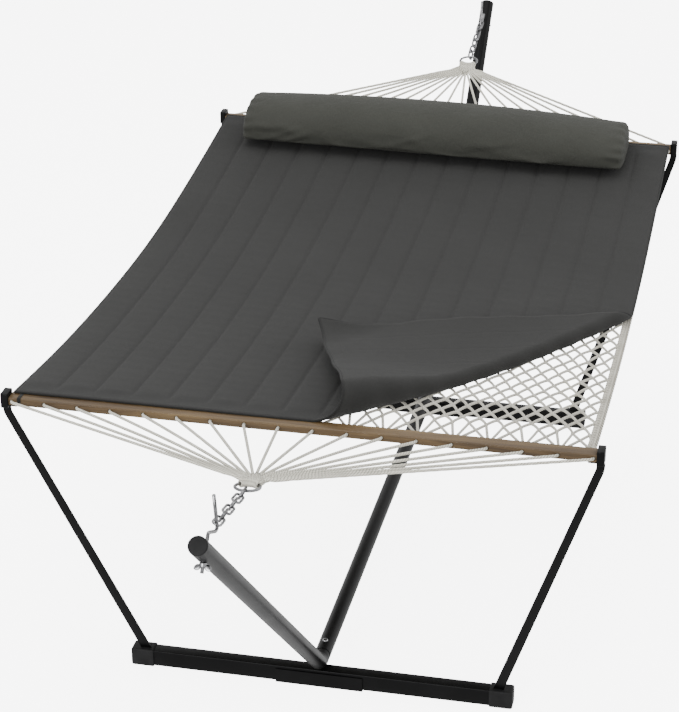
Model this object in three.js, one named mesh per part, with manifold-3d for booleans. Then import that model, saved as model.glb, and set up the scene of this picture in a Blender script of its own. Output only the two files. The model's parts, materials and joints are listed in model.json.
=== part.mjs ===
// Double hammock with spreader bars on its steel stand.
// Millimetres, +Z up, origin on the floor under the middle of the stand.
// X runs across the bed, Y along it; the front end is at negative Y.

import * as THREE from 'three';
import { mergeVertices } from 'three/addons/utils/BufferGeometryUtils.js';
import Module from 'manifold-3d';

const wasm = await Module();
wasm.setup();

// ---------------------------------------------------------------- driving dimensions

const GAP = 0.3;                    // clearance between touching pieces

// Stand
const TUBE_D = 42;                  // beam and arms
const CROSSBAR = { y: 789, half: 490, deep: 36, high: 46, wall: 2, bottom: 2.4 };
const FOOT = { inner: 445, outer: 505.5, deep: 44, high: 51 };
const SADDLE = { half: 115, sheet: 2, high: 40 };
const BEAM_Z = CROSSBAR.bottom + CROSSBAR.high + GAP + TUBE_D / 2;
const BEAM_HALF = 764;
const TIP = { y: 1866, z: 1034 };   // centre of an arm's upper end
const ARM_BEND = 62;                // bend radius at the foot of an arm
const ARM_TILT = THREE.MathUtils.degToRad(42.15);
const SPIGOT = { d: 37.4, wall: 1.6, reach: 655 };
const JOINT_BOLT = { y: 728, d: 8, head: 15, dome: 5, nut: 6.5 };

// Spreader bars and the stays that carry them
const BAR = { y: 1016, z: 868, half: 706.5, deep: 36, high: 20, corner: 4 };
const HOLES = { count: 18, span: 1400, d: 9.4 };
const BRACKET = { wide: 18, deep: 38, high: 38, y: 1021, top: 889.5, tab: 20, sheet: 2.5 };
const STAY = { top: 20, foot: 26, thick: 5, footX: 461, footY: 789, footZ: 30,
  kneeZ: 836, bend: 11, bendRows: 5 };
const SCREW = { x: 690.5, d: 4, head: 9, dome: 2.6, long: 17 };

// Rope work
const ROPE_D = 7.5;
const CLEW = { front: 1453, back: 1402, frontWide: 50, backWide: 66, thick: 15 };
const RING = { y: 1475, z: 955, r: 27.5, wire: 7 };
const BORDER = { d: 18, flat: 0.7, below: 5.2, inset: 2 };
const NET_THICK = 3;

// Hanging hardware
const HOOK_FROM_TIP = 66;
const HOOK = { wire: 8, below: 42, above: 42, lowY: 1729, lowZ: 991, rise: 0.2, free: 88,
  grip: 12.5 };
const LINK = { count: 6, wire: 6, width: 24, slack: 0.9, turn: 0.42 };

// Bed
const PAD = { half: 700, end: 1006, thick: 13, hem: 7.5 };
const EDGE_Z = 887.0;               // top of the pad at the bars
const SAG = { main: 61.5, deep: 13, at: 1006 };
const FOLD = { startX: 68, endY: -88, roll: 30, cornerX: -112, cornerY: -434, lift: 40 };
const LOOP = { x: -680, wide: 9, thick: 1.2, rearTop: 4 };
const PILLOW = { half: 592, y: 905, deep: 140, yaw: -0.045, crown: 1003, lean: -2.4, arch: 22,
  endRound: 0.06 };
const PILLOW_STRAP = { x: 411.8, wide: 25, thick: 2, bottom: 858, top: 886 };

// ---------------------------------------------------------------- materials

const finish = (name, color, roughness, metalness) => {
  const material = new THREE.MeshStandardMaterial({ color, roughness, metalness });
  material.name = name;
  return material;
};
const BLACK_STEEL = finish('black_steel', 0x1c1c1c, 0.5, 0.4);
const BLACK_PLASTIC = finish('black_plastic', 0x303030, 0.6, 0);
const BRIGHT_STEEL = finish('bright_steel', 0xc8c8ca, 0.25, 1);
const WOOD = finish('wood', 0x8a6a4c, 0.6, 0);
const ROPE = finish('rope', 0xdad8cc, 0.9, 0);
const PAD_CLOTH = finish('pad_cloth', 0x4b4b49, 0.9, 0);
const PILLOW_CLOTH = finish('pillow_cloth', 0x55564f, 0.9, 0);

// ---------------------------------------------------------------- helpers

const model = new THREE.Group();

function addPart(parent, name, geometry, material) {
  const mesh = new THREE.Mesh(geometry, material.clone());
  mesh.name = name;
  parent.add(mesh);
  return mesh;
}

function toSolid(geometry) {
  const bare = geometry.clone();
  bare.deleteAttribute('normal');
  bare.deleteAttribute('uv');
  const merged = mergeVertices(bare, 1e-4);
  return new wasm.Manifold(new wasm.Mesh({
    numProp: 3,
    vertProperties: new Float32Array(merged.attributes.position.array),
    triVerts: new Uint32Array(merged.index.array),
  }));
}

function toGeometry(solid) {
  const { vertProperties, triVerts } = solid.getMesh();
  const geometry = new THREE.BufferGeometry();
  geometry.setAttribute('position', new THREE.BufferAttribute(vertProperties, 3));
  geometry.setIndex(new THREE.BufferAttribute(triVerts, 1));
  geometry.computeVertexNormals();
  return geometry;
}

const cut = (geometry, ...tools) =>
  toGeometry(tools.reduce((solid, tool) => solid.subtract(toSolid(tool)), toSolid(geometry)));

const join = (...pieces) =>
  toGeometry(pieces.map(toSolid).reduce((solid, piece) => solid.add(piece)));

function circleShape(radius, holeRadius = 0, sides = 20) {
  const ring = (r) => Array.from({ length: sides }, (_, i) => {
    const a = (2 * Math.PI * i) / sides;
    return new THREE.Vector2(r * Math.cos(a), r * Math.sin(a));
  });
  const shape = new THREE.Shape(ring(radius));
  if (holeRadius > 0) shape.holes.push(new THREE.Path(ring(holeRadius).reverse()));
  return shape;
}

function rectShape(width, height, corner = 0) {
  const [w, h] = [width / 2, height / 2];
  const shape = new THREE.Shape();
  shape.moveTo(-w + corner, -h);
  shape.lineTo(w - corner, -h);
  if (corner) shape.quadraticCurveTo(w, -h, w, -h + corner);
  shape.lineTo(w, h - corner);
  if (corner) shape.quadraticCurveTo(w, h, w - corner, h);
  shape.lineTo(-w + corner, h);
  if (corner) shape.quadraticCurveTo(-w, h, -w, h - corner);
  shape.lineTo(-w, -h + corner);
  if (corner) shape.quadraticCurveTo(-w, -h, -w + corner, -h);
  return shape;
}

function sweep(shape, path, steps) {
  return new THREE.ExtrudeGeometry(shape, { steps, extrudePath: path, curveSegments: 4 });
}

// A prism along X whose section is drawn in Y (shape x) and Z (shape y).
function prismX(shape, from, to) {
  const geometry = new THREE.ExtrudeGeometry(shape, {
    depth: to - from, bevelEnabled: false, curveSegments: 3,
  });
  geometry.rotateX(Math.PI / 2);
  geometry.rotateZ(Math.PI / 2);
  geometry.translate(from, 0, 0);
  return geometry;
}

function boxAt(sizeX, sizeY, sizeZ, x, y, z) {
  return new THREE.BoxGeometry(sizeX, sizeY, sizeZ).translate(x, y, z);
}

// A round bar from one point to another.
function rod(from, to, radius, sides = 12) {
  const along = to.clone().sub(from);
  return new THREE.CylinderGeometry(radius, radius, along.length(), sides)
    .applyQuaternion(turnTo(along))
    .translate(...from.clone().add(to).multiplyScalar(0.5).toArray());
}

// The turn that brings +Y onto a direction.
const turnTo = (direction) =>
  new THREE.Quaternion().setFromUnitVectors(at(0, 1, 0), direction.clone().normalize());

// A turned piece: profile points are [radius, height], its axis starts at a point.
function turned(profile, start, direction, sides = 20) {
  const points = profile.map(([r, h]) => new THREE.Vector2(r, h));
  return new THREE.LatheGeometry(points, sides)
    .applyQuaternion(turnTo(direction)).translate(...start.toArray());
}

// Moves every vertex of a geometry through a function of its place.
function bend(geometry, place) {
  const position = geometry.attributes.position;
  const point = new THREE.Vector3();
  for (let i = 0; i < position.count; i += 1) {
    place(point.fromBufferAttribute(position, i));
    position.setXYZ(i, point.x, point.y, point.z);
  }
  return geometry;
}

const at = (x, y, z) => new THREE.Vector3(x, y, z);

// A polyline whose inner corners are rounded by quadratic curves. It is divided by shape, not
// by length: one step for each straight and a fixed number for each bend.
class Route extends THREE.Curve {
  constructor(points, radius, bendSteps = 6) {
    super();
    this.pieces = [];
    let last = points[0];
    for (let i = 1; i < points.length - 1; i += 1) {
      const corner = points[i];
      const before = corner.clone().add(points[i - 1].clone().sub(corner).setLength(radius));
      const after = corner.clone().add(points[i + 1].clone().sub(corner).setLength(radius));
      this.pieces.push({ curve: new THREE.LineCurve3(last, before), steps: 1 });
      this.pieces.push({
        curve: new THREE.QuadraticBezierCurve3(before, corner, after), steps: bendSteps,
      });
      last = after;
    }
    this.pieces.push({ curve: new THREE.LineCurve3(last, points[points.length - 1]), steps: 1 });
    this.steps = this.pieces.reduce((sum, piece) => sum + piece.steps, 0);
  }

  getPoint(t, target = new THREE.Vector3()) {
    let step = THREE.MathUtils.clamp(t, 0, 1) * this.steps;
    let index = 0;
    while (index < this.pieces.length - 1 && step > this.pieces[index].steps) {
      step -= this.pieces[index].steps;
      index += 1;
    }
    const { curve, steps } = this.pieces[index];
    return target.copy(curve.getPoint(Math.min(1, step / steps)));
  }

  getPointAt(u, target) {
    return this.getPoint(u, target);
  }

  getTangentAt(u, target) {
    return this.getTangent(u, target);
  }
}

const sweepRoute = (shape, route) => sweep(shape, route, route.steps);

// Height of the pad's top face: level at the bars, sagging between them.
function padTop(y) {
  const t = Math.min(1, Math.abs(y) / SAG.at);
  const rise = 1 - t * t;
  return EDGE_Z - SAG.main * rise - SAG.deep * rise * rise;
}

function padThickness(y) {
  const t = THREE.MathUtils.smoothstep(PAD.end - Math.abs(y), 20, 120);
  return THREE.MathUtils.lerp(PAD.hem, PAD.thick, t);
}

const holeX = (i) => -HOLES.span / 2 + (HOLES.span * i) / (HOLES.count - 1);

// ---------------------------------------------------------------- stand, one end

const ARM_FOOT = at(0, -(TIP.y - (TIP.z - BEAM_Z) / Math.tan(ARM_TILT)), BEAM_Z);
const ARM_TIP = at(0, -TIP.y, TIP.z);
const UP_ARM = ARM_TIP.clone().sub(ARM_FOOT).normalize();
const ACROSS_ARM = at(0, -UP_ARM.z, UP_ARM.y).multiplyScalar(-1);   // up and inwards
const HOOK_SEAT = ARM_TIP.clone().addScaledVector(UP_ARM, -HOOK_FROM_TIP);

const stayTop = (side) => at(side * (BAR.half + GAP + BRACKET.wide / 2), -BRACKET.y,
  BRACKET.top - BRACKET.high - GAP);
const stayKnee = (side) => at(stayTop(side).x, -BRACKET.y, STAY.kneeZ);
const stayFoot = (side) => at(side * STAY.footX, -STAY.footY, STAY.footZ);

// A flat bar that leaves its bracket downwards, bends inwards and widens to the foot.
function stayGeometry(side, extra = 0) {
  const [top, knee, foot] = [stayTop(side), stayKnee(side), stayFoot(side)];
  const path = new Route([top, knee, foot], STAY.bend, STAY.bendRows);
  const lean = Math.atan2(Math.abs(knee.x - foot.x), knee.z - foot.z);
  const geometry = new THREE.BoxGeometry(1, STAY.thick + extra, 1, 1, 1, path.steps);
  return bend(geometry, (point) => {
    const step = Math.round((0.5 - point.z) * path.steps);
    const centre = path.getPoint(step / path.steps);
    const part = (top.z - centre.z) / (top.z - foot.z);
    const tilt = side * lean * THREE.MathUtils.clamp((step - 1) / STAY.bendRows, 0, 1);
    const reach = point.x * (THREE.MathUtils.lerp(STAY.top, STAY.foot, part) + extra);
    point.set(centre.x + reach * Math.cos(tilt), centre.y + point.y,
      centre.z - reach * Math.sin(tilt));
  });
}

function addCrossbar(group, end) {
  const { y, half, deep, high, wall, bottom } = CROSSBAR;
  const section = rectShape(deep, high);
  section.holes.push(new THREE.Path(
    rectShape(deep - 2 * wall, high - 2 * wall).getPoints().reverse()));
  const bar = prismX(section, -half, half).translate(0, -y, bottom + high / 2);
  addPart(group, `${end}_crossbar`,
    cut(bar, stayGeometry(-1, 2 * GAP), stayGeometry(1, 2 * GAP)), BLACK_STEEL);

  const inY = deep / 2 + GAP;
  const inZ = bottom - GAP;
  const [outY, outZ] = [inY + SADDLE.sheet, inZ - SADDLE.sheet];
  const channel = new THREE.Shape([
    [-outY, outZ], [outY, outZ], [outY, SADDLE.high], [inY, SADDLE.high],
    [inY, inZ], [-inY, inZ], [-inY, SADDLE.high], [-outY, SADDLE.high],
  ].map(([a, b]) => new THREE.Vector2(a, b)));
  addPart(group, `${end}_saddle`,
    prismX(channel, -SADDLE.half, SADDLE.half).translate(0, -y, 0), BLACK_STEEL);
}

function addFoot(group, end, sideName, side) {
  const { inner, outer, deep, high } = FOOT;
  const ends = side > 0 ? [inner, outer] : [-outer, -inner];
  const shell = prismX(rectShape(deep, high, 5), ...ends).translate(0, -CROSSBAR.y, high / 2);
  const socket = boxAt(2 * (CROSSBAR.half + GAP - inner), CROSSBAR.deep + 2 * GAP,
    CROSSBAR.high + 2 * GAP, side * inner, -CROSSBAR.y, CROSSBAR.bottom + CROSSBAR.high / 2);
  addPart(group, `${end}_${sideName}_foot`,
    cut(shell, socket, stayGeometry(side, 2 * GAP)), BLACK_PLASTIC);
}

function addArm(group, end) {
  const corner = ARM_BEND * Math.tan(ARM_TILT / 2);
  const beamEnd = at(0, -BEAM_HALF - GAP, BEAM_Z);
  const spigotEnd = at(0, -SPIGOT.reach, BEAM_Z);
  const tube = sweepRoute(circleShape(TUBE_D / 2), new Route([beamEnd, ARM_FOOT, ARM_TIP], corner));
  const spigot = rod(spigotEnd, at(0, -BEAM_HALF - 4, BEAM_Z), SPIGOT.d / 2, 20);
  const bore = sweepRoute(circleShape(SPIGOT.d / 2 - SPIGOT.wall), new Route(
    [at(0, -SPIGOT.reach + 4, BEAM_Z), ARM_FOOT, ARM_TIP.clone().addScaledVector(UP_ARM, 4)],
    corner));
  const hookHole = rod(HOOK_SEAT.clone().addScaledVector(ACROSS_ARM, -40),
    HOOK_SEAT.clone().addScaledVector(ACROSS_ARM, 40), HOOK.wire / 2 + GAP);
  addPart(group, `${end}_arm`, cut(join(tube, spigot), bore, hookHole, boltHole()), BLACK_STEEL);

  const inBore = SPIGOT.d / 2 - SPIGOT.wall - GAP;
  addPart(group, `${end}_arm_cap`, turned([
    [0, -14], [inBore - 2, -14], [inBore, -9], [inBore, GAP], [TUBE_D / 2, GAP],
    [TUBE_D / 2, 2.4], [TUBE_D / 2 - 1.4, 3.6], [0, 4],
  ], ARM_TIP, UP_ARM, 24), BLACK_PLASTIC);
}

const boltHole = () => rod(at(0, -JOINT_BOLT.y, BEAM_Z - 40), at(0, -JOINT_BOLT.y, BEAM_Z + 40),
  JOINT_BOLT.d / 2 + GAP);

function addJointBolt(group, end) {
  const { y, d, head, dome, nut } = JOINT_BOLT;
  const beamTop = BEAM_Z + TUBE_D / 2 + GAP;
  const beamBottom = BEAM_Z - TUBE_D / 2 - GAP;
  addPart(group, `${end}_joint_bolt`, turned([
    [0, beamBottom - nut - 5], [d / 2, beamBottom - nut - 5], [d / 2, beamTop],
    [head / 2, beamTop], [head / 2 - 1, beamTop + dome * 0.5], [head / 4, beamTop + dome * 0.9],
    [0, beamTop + dome],
  ], at(0, -y, 0), at(0, 0, 1), 16), BRIGHT_STEEL);
  addPart(group, `${end}_joint_nut`, cut(
    turned([[0, 0], [7.5, 0], [7.5, nut], [0, nut]], at(0, -y, beamBottom - nut), at(0, 0, 1), 6),
    rod(at(0, -y, 0), at(0, -y, BEAM_Z), d / 2 + GAP)), BRIGHT_STEEL);
}

// ---------------------------------------------------------------- spreader bar and stays

function addStay(group, end, sideName, side) {
  addPart(group, `${end}_${sideName}_stay`, stayGeometry(side), BLACK_STEEL);

  const { wide, deep, high, y, top, tab, sheet } = BRACKET;
  const x = side * (BAR.half + GAP + wide / 2);
  const tabTop = BAR.z - BAR.high / 2 - GAP;
  const block = boxAt(wide, deep, high, x, -y, top - high / 2);
  const shelf = boxAt(tab + wide / 2, BAR.deep - 2, sheet,
    side * (BAR.half + GAP - tab + (tab + wide / 2) / 2), -BAR.y, tabTop - sheet / 2);
  const screwFoot = at(side * SCREW.x, -BAR.y, tabTop - sheet - GAP);
  const hole = rod(screwFoot, screwFoot.clone().add(at(0, 0, SCREW.long)), SCREW.d / 2 + GAP, 10);
  addPart(group, `${end}_${sideName}_bar_bracket`, cut(join(block, shelf), hole), BLACK_STEEL);
  addPart(group, `${end}_${sideName}_bar_screw`, turned([
    [0, -SCREW.dome], [SCREW.head / 2 - 1, -SCREW.dome * 0.7], [SCREW.head / 2, 0],
    [SCREW.d / 2, 0], [SCREW.d / 2, SCREW.long - 2], [0, SCREW.long],
  ], screwFoot, at(0, 0, 1), 10), BLACK_STEEL);
}

function addSpreaderBar(group, end) {
  const bar = prismX(rectShape(BAR.deep, BAR.high, BAR.corner), -BAR.half, BAR.half)
    .translate(0, -BAR.y, BAR.z);
  const holes = Array.from({ length: HOLES.count }, (_, i) =>
    rod(at(holeX(i), -BAR.y - BAR.deep, BAR.z), at(holeX(i), -BAR.y + BAR.deep, BAR.z),
      HOLES.d / 2, 8));
  const screws = [-1, 1].map((side) => rod(at(side * SCREW.x, -BAR.y, BAR.z - BAR.high),
    at(side * SCREW.x, -BAR.y, BAR.z - BAR.high / 2 + SCREW.long), SCREW.d / 2 + GAP, 10));
  addPart(group, `${end}_spreader_bar`, cut(bar, ...screws, ...holes), WOOD);
}

// ---------------------------------------------------------------- harness, ring and chain

const HARNESS_SLOPE = (RING.z - BAR.z) / (RING.y - BAR.y - BAR.deep / 2);
const harnessZ = (y) => BAR.z + HARNESS_SLOPE * Math.max(0, -y - BAR.y - BAR.deep / 2);
const HARNESS_TILT = -Math.atan(HARNESS_SLOPE);
const ringGeometry = (extra = 0) => new THREE.TorusGeometry(RING.r, RING.wire / 2 + extra, 8, 24)
  .rotateX(HARNESS_TILT).translate(0, -RING.y, RING.z);

function addHarness(group, end) {
  const clew = bend(new THREE.BoxGeometry(1, 1, 1, 1, 3, 1), (point) => {
    const part = 0.5 - point.y;
    const y = -THREE.MathUtils.lerp(CLEW.back, CLEW.front, part);
    const width = THREE.MathUtils.lerp(CLEW.backWide, CLEW.frontWide, part);
    point.set(point.x * width, y, harnessZ(y) + point.z * CLEW.thick);
  });
  const ropes = Array.from({ length: HOLES.count }, (_, i) => {
    const x = holeX(i);
    const share = x / holeX(HOLES.count - 1);
    const face = -BAR.y - BAR.deep / 2;
    const mouth = at(x, face - 5, BAR.z);
    const inClew = at(share * CLEW.backWide * 0.4, -CLEW.back - 12, harnessZ(-CLEW.back - 12));
    return [rod(at(x, face + BAR.deep, BAR.z), mouth, ROPE_D / 2, 6),
      rod(mouth.clone().add(at(0, 2, 0)), inClew, ROPE_D / 2, 6)];
  }).flat();
  addPart(group, `${end}_harness`, cut(join(clew, ...ropes), ringGeometry(0.5)), ROPE);
  addPart(group, `${end}_ring`, ringGeometry(), BRIGHT_STEEL);
}

const HOOK_LOW = at(0, -HOOK.lowY, HOOK.lowZ);
const HOOK_LEG = HOOK_LOW.clone().add(at(0, 7, 3));
const HOOK_RISE = at(0, -HOOK.rise, Math.sqrt(1 - HOOK.rise ** 2));

// Runs up through the arm, down into a narrow U, and ends in a long straight leg.
function addHook(group, end) {
  const path = new Route([
    HOOK_SEAT.clone().addScaledVector(ACROSS_ARM, -HOOK.below),
    HOOK_SEAT.clone().addScaledVector(ACROSS_ARM, HOOK.above),
    HOOK_LOW.clone().add(at(0, -6, 2)), HOOK_LEG,
    HOOK_LEG.clone().addScaledVector(HOOK_RISE, HOOK.free),
  ], 6);
  addPart(group, `${end}_hook`, sweepRoute(circleShape(HOOK.wire / 2, 0, 10), path), BRIGHT_STEEL);

  const seat = HOOK_SEAT.clone().addScaledVector(ACROSS_ARM, -TUBE_D / 2 - GAP);
  const down = ACROSS_ARM.clone().multiplyScalar(-1);
  const inner = HOOK.wire / 2 + GAP;
  const hub = turned([[0, 0], [8.5, 0], [6.5, 10], [0, 10]], seat, down, 14);
  const bore = rod(seat.clone().addScaledVector(down, -5), seat.clone().addScaledVector(down, 30), inner);
  const wing = (side) => bend(new THREE.BoxGeometry(1, 1, 1, 3, 1, 1), (point) => {
    const part = point.x + 0.5;
    const out = inner + 1 + part * 13;
    const tall = 7 + 6 * Math.sin(Math.PI * part);
    point.set(side * out, -side * point.z * 3.2, 5.5 + part * 8 + point.y * tall);
    point.applyQuaternion(turnTo(down).multiply(
      new THREE.Quaternion().setFromAxisAngle(at(1, 0, 0), -Math.PI / 2))).add(seat);
  });
  addPart(group, `${end}_wing_nut`, cut(join(hub, wing(1), wing(-1)), bore), BRIGHT_STEEL);
}

function addChain(group, end) {
  const hook = HOOK_LEG.clone().addScaledVector(HOOK_RISE, HOOK.grip);
  const ring = at(0, -RING.y - RING.r, RING.z + HARNESS_SLOPE * RING.r);
  const direction = ring.clone().sub(hook).normalize();
  const start = hook.addScaledVector(direction, -HOOK.wire / 2 - GAP);
  const finish = ring.addScaledVector(direction, RING.wire / 2 + GAP);
  const along = finish.clone().sub(start);
  const pitch = along.length() / LINK.count;
  const radius = (LINK.width - LINK.wire) / 2;
  const straight = (pitch + 2 * LINK.slack + LINK.wire - 2 * radius) / 2;
  const halfStep = Math.PI / 12;
  for (let i = 0; i < LINK.count; i += 1) {
    const link = new THREE.TorusGeometry(radius, LINK.wire / 2, 8, 12).rotateZ(halfStep);
    bend(link, (point) => { point.y += Math.sign(point.y) * straight; });
    link.rotateY(i % 2 ? LINK.turn + Math.PI / 2 : LINK.turn)
      .applyQuaternion(turnTo(along))
      .translate(...start.clone().addScaledVector(along, (i + 0.5) / LINK.count).toArray());
    addPart(group, `${end}_chain_link_${i + 1}`, link, BRIGHT_STEEL);
  }
}

// ---------------------------------------------------------------- bed

function addNet(group) {
  const end = BAR.y - BAR.deep / 2 - LOOP.thick - 4 * GAP;
  const half = PAD.half - BORDER.d - BORDER.inset - GAP;
  const net = bend(new THREE.BoxGeometry(2 * half, 2 * end, 1, 6, 20, 1), (point) => {
    point.z = netMiddle(point.y) + point.z * NET_THICK;
  });
  addPart(group, 'net_bed', net, ROPE);
  for (const [name, side] of [['left', -1], ['right', 1]]) {
    const border = bend(new THREE.CylinderGeometry(BORDER.d / 2, BORDER.d / 2, 2 * end, 8, 20),
      (point) => {
        const drop = netMiddle(point.y) - BORDER.below;
        const x = side * (PAD.half - BORDER.d / 2 - BORDER.inset);
        point.set(x + point.x, point.y, drop + point.z * BORDER.flat);
      });
    addPart(group, `${name}_border_rope`, border, ROPE);
  }
}

// Middle of the net: it leaves the holes in the bars and lies under the pad.
function netMiddle(y) {
  const t = THREE.MathUtils.smoothstep(PAD.end - Math.abs(y), 0, 90);
  const under = padTop(y) - padThickness(y) - 2 * GAP - NET_THICK / 2;
  return THREE.MathUtils.lerp(BAR.z, under, t);
}

function addPad(group) {
  const foldX = (y) => FOLD.startX + (PAD.half - FOLD.startX)
    * (y + PAD.end) / (FOLD.endY + PAD.end);
  const rightEdge = (y) => Math.min(PAD.half, foldX(y));
  const rows = 22;
  const base = bend(new THREE.BoxGeometry(1, 1, 1, 6, rows, 1), (point) => {
    const row = Math.round((point.y + 0.5) * rows);
    const y = row <= 11 ? THREE.MathUtils.lerp(-PAD.end, FOLD.endY, row / 11)
      : THREE.MathUtils.lerp(FOLD.endY, PAD.end, (row - 11) / (rows - 11));
    const x = THREE.MathUtils.lerp(-PAD.half, rightEdge(y), point.x + 0.5);
    point.set(x, y, padTop(y) + (point.z - 0.5) * padThickness(y));
  });
  const rollPoint = (y) => at(rightEdge(y) - FOLD.roll * 1.1, y,
    padTop(y) - padThickness(y) + FOLD.roll + 1);
  const rollPath = new THREE.CatmullRomCurve3(
    [0.05, 0.25, 0.5, 0.75, 0.96].map((part) =>
      rollPoint(THREE.MathUtils.lerp(-PAD.end, FOLD.endY, part))));
  const roll = sweep(circleShape(FOLD.roll, 0, 12), rollPath, 12);
  const corners = [rollPoint(-PAD.end + 10), rollPoint(FOLD.endY - 20),
    at(FOLD.cornerX, FOLD.cornerY, padTop(FOLD.cornerY) + FOLD.lift - FOLD.roll)];
  const flap = bend(new THREE.ExtrudeGeometry(
    new THREE.Shape(corners.map((p) => new THREE.Vector2(p.x, p.y))),
    { depth: 1, bevelEnabled: false }), (point) => {
    const corner = corners.find((p) => Math.hypot(p.x - point.x, p.y - point.y) < 0.01);
    point.z = corner.z + FOLD.roll - PAD.thick * (1 - point.z);
  });
  addPart(group, 'pad', join(base, roll, flap), PAD_CLOTH);
}

// A fabric tie sewn to the pad's corner: it runs over the front of the bar, under it and up
// behind it.
function addPadLoop(group) {
  const { wide, thick, x, rearTop } = LOOP;
  const [inY, inZ] = [BAR.deep / 2 + GAP, BAR.high / 2 + GAP];
  const [outY, outZ] = [inY + thick, inZ + thick];
  const padEdge = BAR.y - PAD.end - 2 * GAP;
  const outline = [
    [padEdge, inZ], [-inY, inZ], [-inY, -inZ], [inY, -inZ], [inY, rearTop],
    [outY, rearTop], [outY, -outZ], [-outY, -outZ], [-outY, outZ], [padEdge, outZ],
  ].map(([a, b]) => new THREE.Vector2(a, b));
  addPart(group, 'pad_corner_loop', prismX(new THREE.Shape(outline), x - wide / 2, x + wide / 2)
    .translate(0, -BAR.y, BAR.z), PAD_CLOTH);
}

// A bolster turned slightly on the pad: its crown falls away to both ends, more to the right.
function addPillow(group) {
  const { half, y, deep, yaw, crown, lean, arch, endRound } = PILLOW;
  const profile = [];
  const steps = 8;
  for (let i = 0; i <= steps; i += 1) {
    const a = (Math.PI / 2) * (i / steps);
    profile.push([Math.sin(a) ** 0.45, -half + half * endRound * (1 - Math.cos(a))]);
  }
  const stations = [-0.6, -0.2, 0.2, 0.6].map((part) => [1, part * half]);
  const points = [...profile, ...stations, ...profile.map(([r, h]) => [r, -h]).reverse()];
  const pillow = turned(points, at(0, 0, 0), at(1, 0, 0), 20);
  bend(pillow, (point) => {
    const part = point.x / half;
    const top = crown - lean * part - arch * part * part;
    const placeY = y + yaw * point.x + point.y * deep;
    const floor = padTop(placeY) + GAP + 1.2;
    const middle = (top + padTop(y)) / 2;
    point.set(point.x, placeY, Math.max(floor, middle + point.z * (top - middle)));
  });
  addPart(group, 'pillow', pillow, PILLOW_CLOTH);
  for (const [name, side] of [['left', -1], ['right', 1]]) {
    const { x, wide, thick, bottom, top } = PILLOW_STRAP;
    addPart(group, `pillow_${name}_strap`, boxAt(wide, thick, top - bottom,
      side * x, BAR.y + BAR.deep / 2 + PAD.hem, (top + bottom) / 2), PILLOW_CLOTH);
  }
}

// ---------------------------------------------------------------- assembly

const rear = new THREE.Group();
rear.rotation.z = Math.PI;
const front = new THREE.Group();
const bed = new THREE.Group();
model.add(front, rear, bed);

const beamTube = sweep(circleShape(TUBE_D / 2, SPIGOT.d / 2 + GAP), new THREE.LineCurve3(
  at(0, -BEAM_HALF, BEAM_Z), at(0, BEAM_HALF, BEAM_Z)), 1);
addPart(bed, 'central_beam', cut(beamTube, boltHole(), boltHole().rotateZ(Math.PI)), BLACK_STEEL);

for (const [end, group] of [['front', front], ['rear', rear]]) {
  addCrossbar(group, end);
  addArm(group, end);
  addJointBolt(group, end);
  addSpreaderBar(group, end);
  // Left and right are named as seen from the front, so the turned group swaps them.
  for (const [sideName, side] of end === 'front' ? [['left', -1], ['right', 1]]
    : [['left', 1], ['right', -1]]) {
    addFoot(group, end, sideName, side);
    addStay(group, end, sideName, side);
  }
  addHarness(group, end);
  addHook(group, end);
  addChain(group, end);
}
addNet(bed);
addPad(bed);
addPadLoop(bed);
addPillow(bed);

export default model;
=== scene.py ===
"""Double hammock with a quilted pad, spreader bars and a bolster, on a black steel stand."""

import json
import logging
import math
from collections.abc import Callable, Iterable, Sequence
from dataclasses import dataclass, field
from enum import Enum

import bmesh
import bpy
import numpy as np
from mathutils import Matrix

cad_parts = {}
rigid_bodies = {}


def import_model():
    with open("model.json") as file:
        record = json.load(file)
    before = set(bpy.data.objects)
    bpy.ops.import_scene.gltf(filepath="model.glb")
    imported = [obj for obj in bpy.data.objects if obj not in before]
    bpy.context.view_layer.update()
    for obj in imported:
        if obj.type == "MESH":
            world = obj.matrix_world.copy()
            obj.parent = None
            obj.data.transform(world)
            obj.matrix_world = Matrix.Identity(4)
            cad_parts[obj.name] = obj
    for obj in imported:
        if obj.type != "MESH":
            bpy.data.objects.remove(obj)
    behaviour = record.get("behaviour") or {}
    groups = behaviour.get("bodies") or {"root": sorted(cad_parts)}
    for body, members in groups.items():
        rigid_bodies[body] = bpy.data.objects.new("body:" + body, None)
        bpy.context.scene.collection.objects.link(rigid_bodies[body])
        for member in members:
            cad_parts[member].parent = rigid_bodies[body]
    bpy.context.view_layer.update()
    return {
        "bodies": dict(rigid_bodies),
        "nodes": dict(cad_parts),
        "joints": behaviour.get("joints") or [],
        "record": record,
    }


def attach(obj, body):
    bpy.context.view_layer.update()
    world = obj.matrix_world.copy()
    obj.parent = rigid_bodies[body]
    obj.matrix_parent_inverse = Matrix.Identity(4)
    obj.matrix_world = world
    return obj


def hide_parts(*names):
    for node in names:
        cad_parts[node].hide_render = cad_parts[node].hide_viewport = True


Array = np.ndarray
LOG = logging.getLogger("hammock")
FULL_TURN = 2.0 * math.pi

# Shared places, in metres: the ring's middle and radius, and the spreader bar's height, width
# and outer face. The ropes of the fan run straight from that face to the ring.
RING_Y, RING_Z, RING_R = 1.475, 0.955, 0.0275
BAR_Z, BAR_DEEP, BAR_FACE = 0.868, 0.036, 1.034
FAN_SLOPE = (RING_Z - BAR_Z) / (RING_Y - BAR_FACE)


class End(Enum):
    """The two ends of the hammock, with the turn about Z that each needs."""

    FRONT = "front"
    REAR = "rear"

    def turn(self, points: Array) -> Array:
        """Carries points made for the front end to this end: the rear is half a turn round.

        Args:
            points: An array of points whose last axis is x, y, z.

        Returns:
            The points at this end.
        """
        if self is End.FRONT:
            return points
        return points * np.array([-1.0, -1.0, 1.0])


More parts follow.
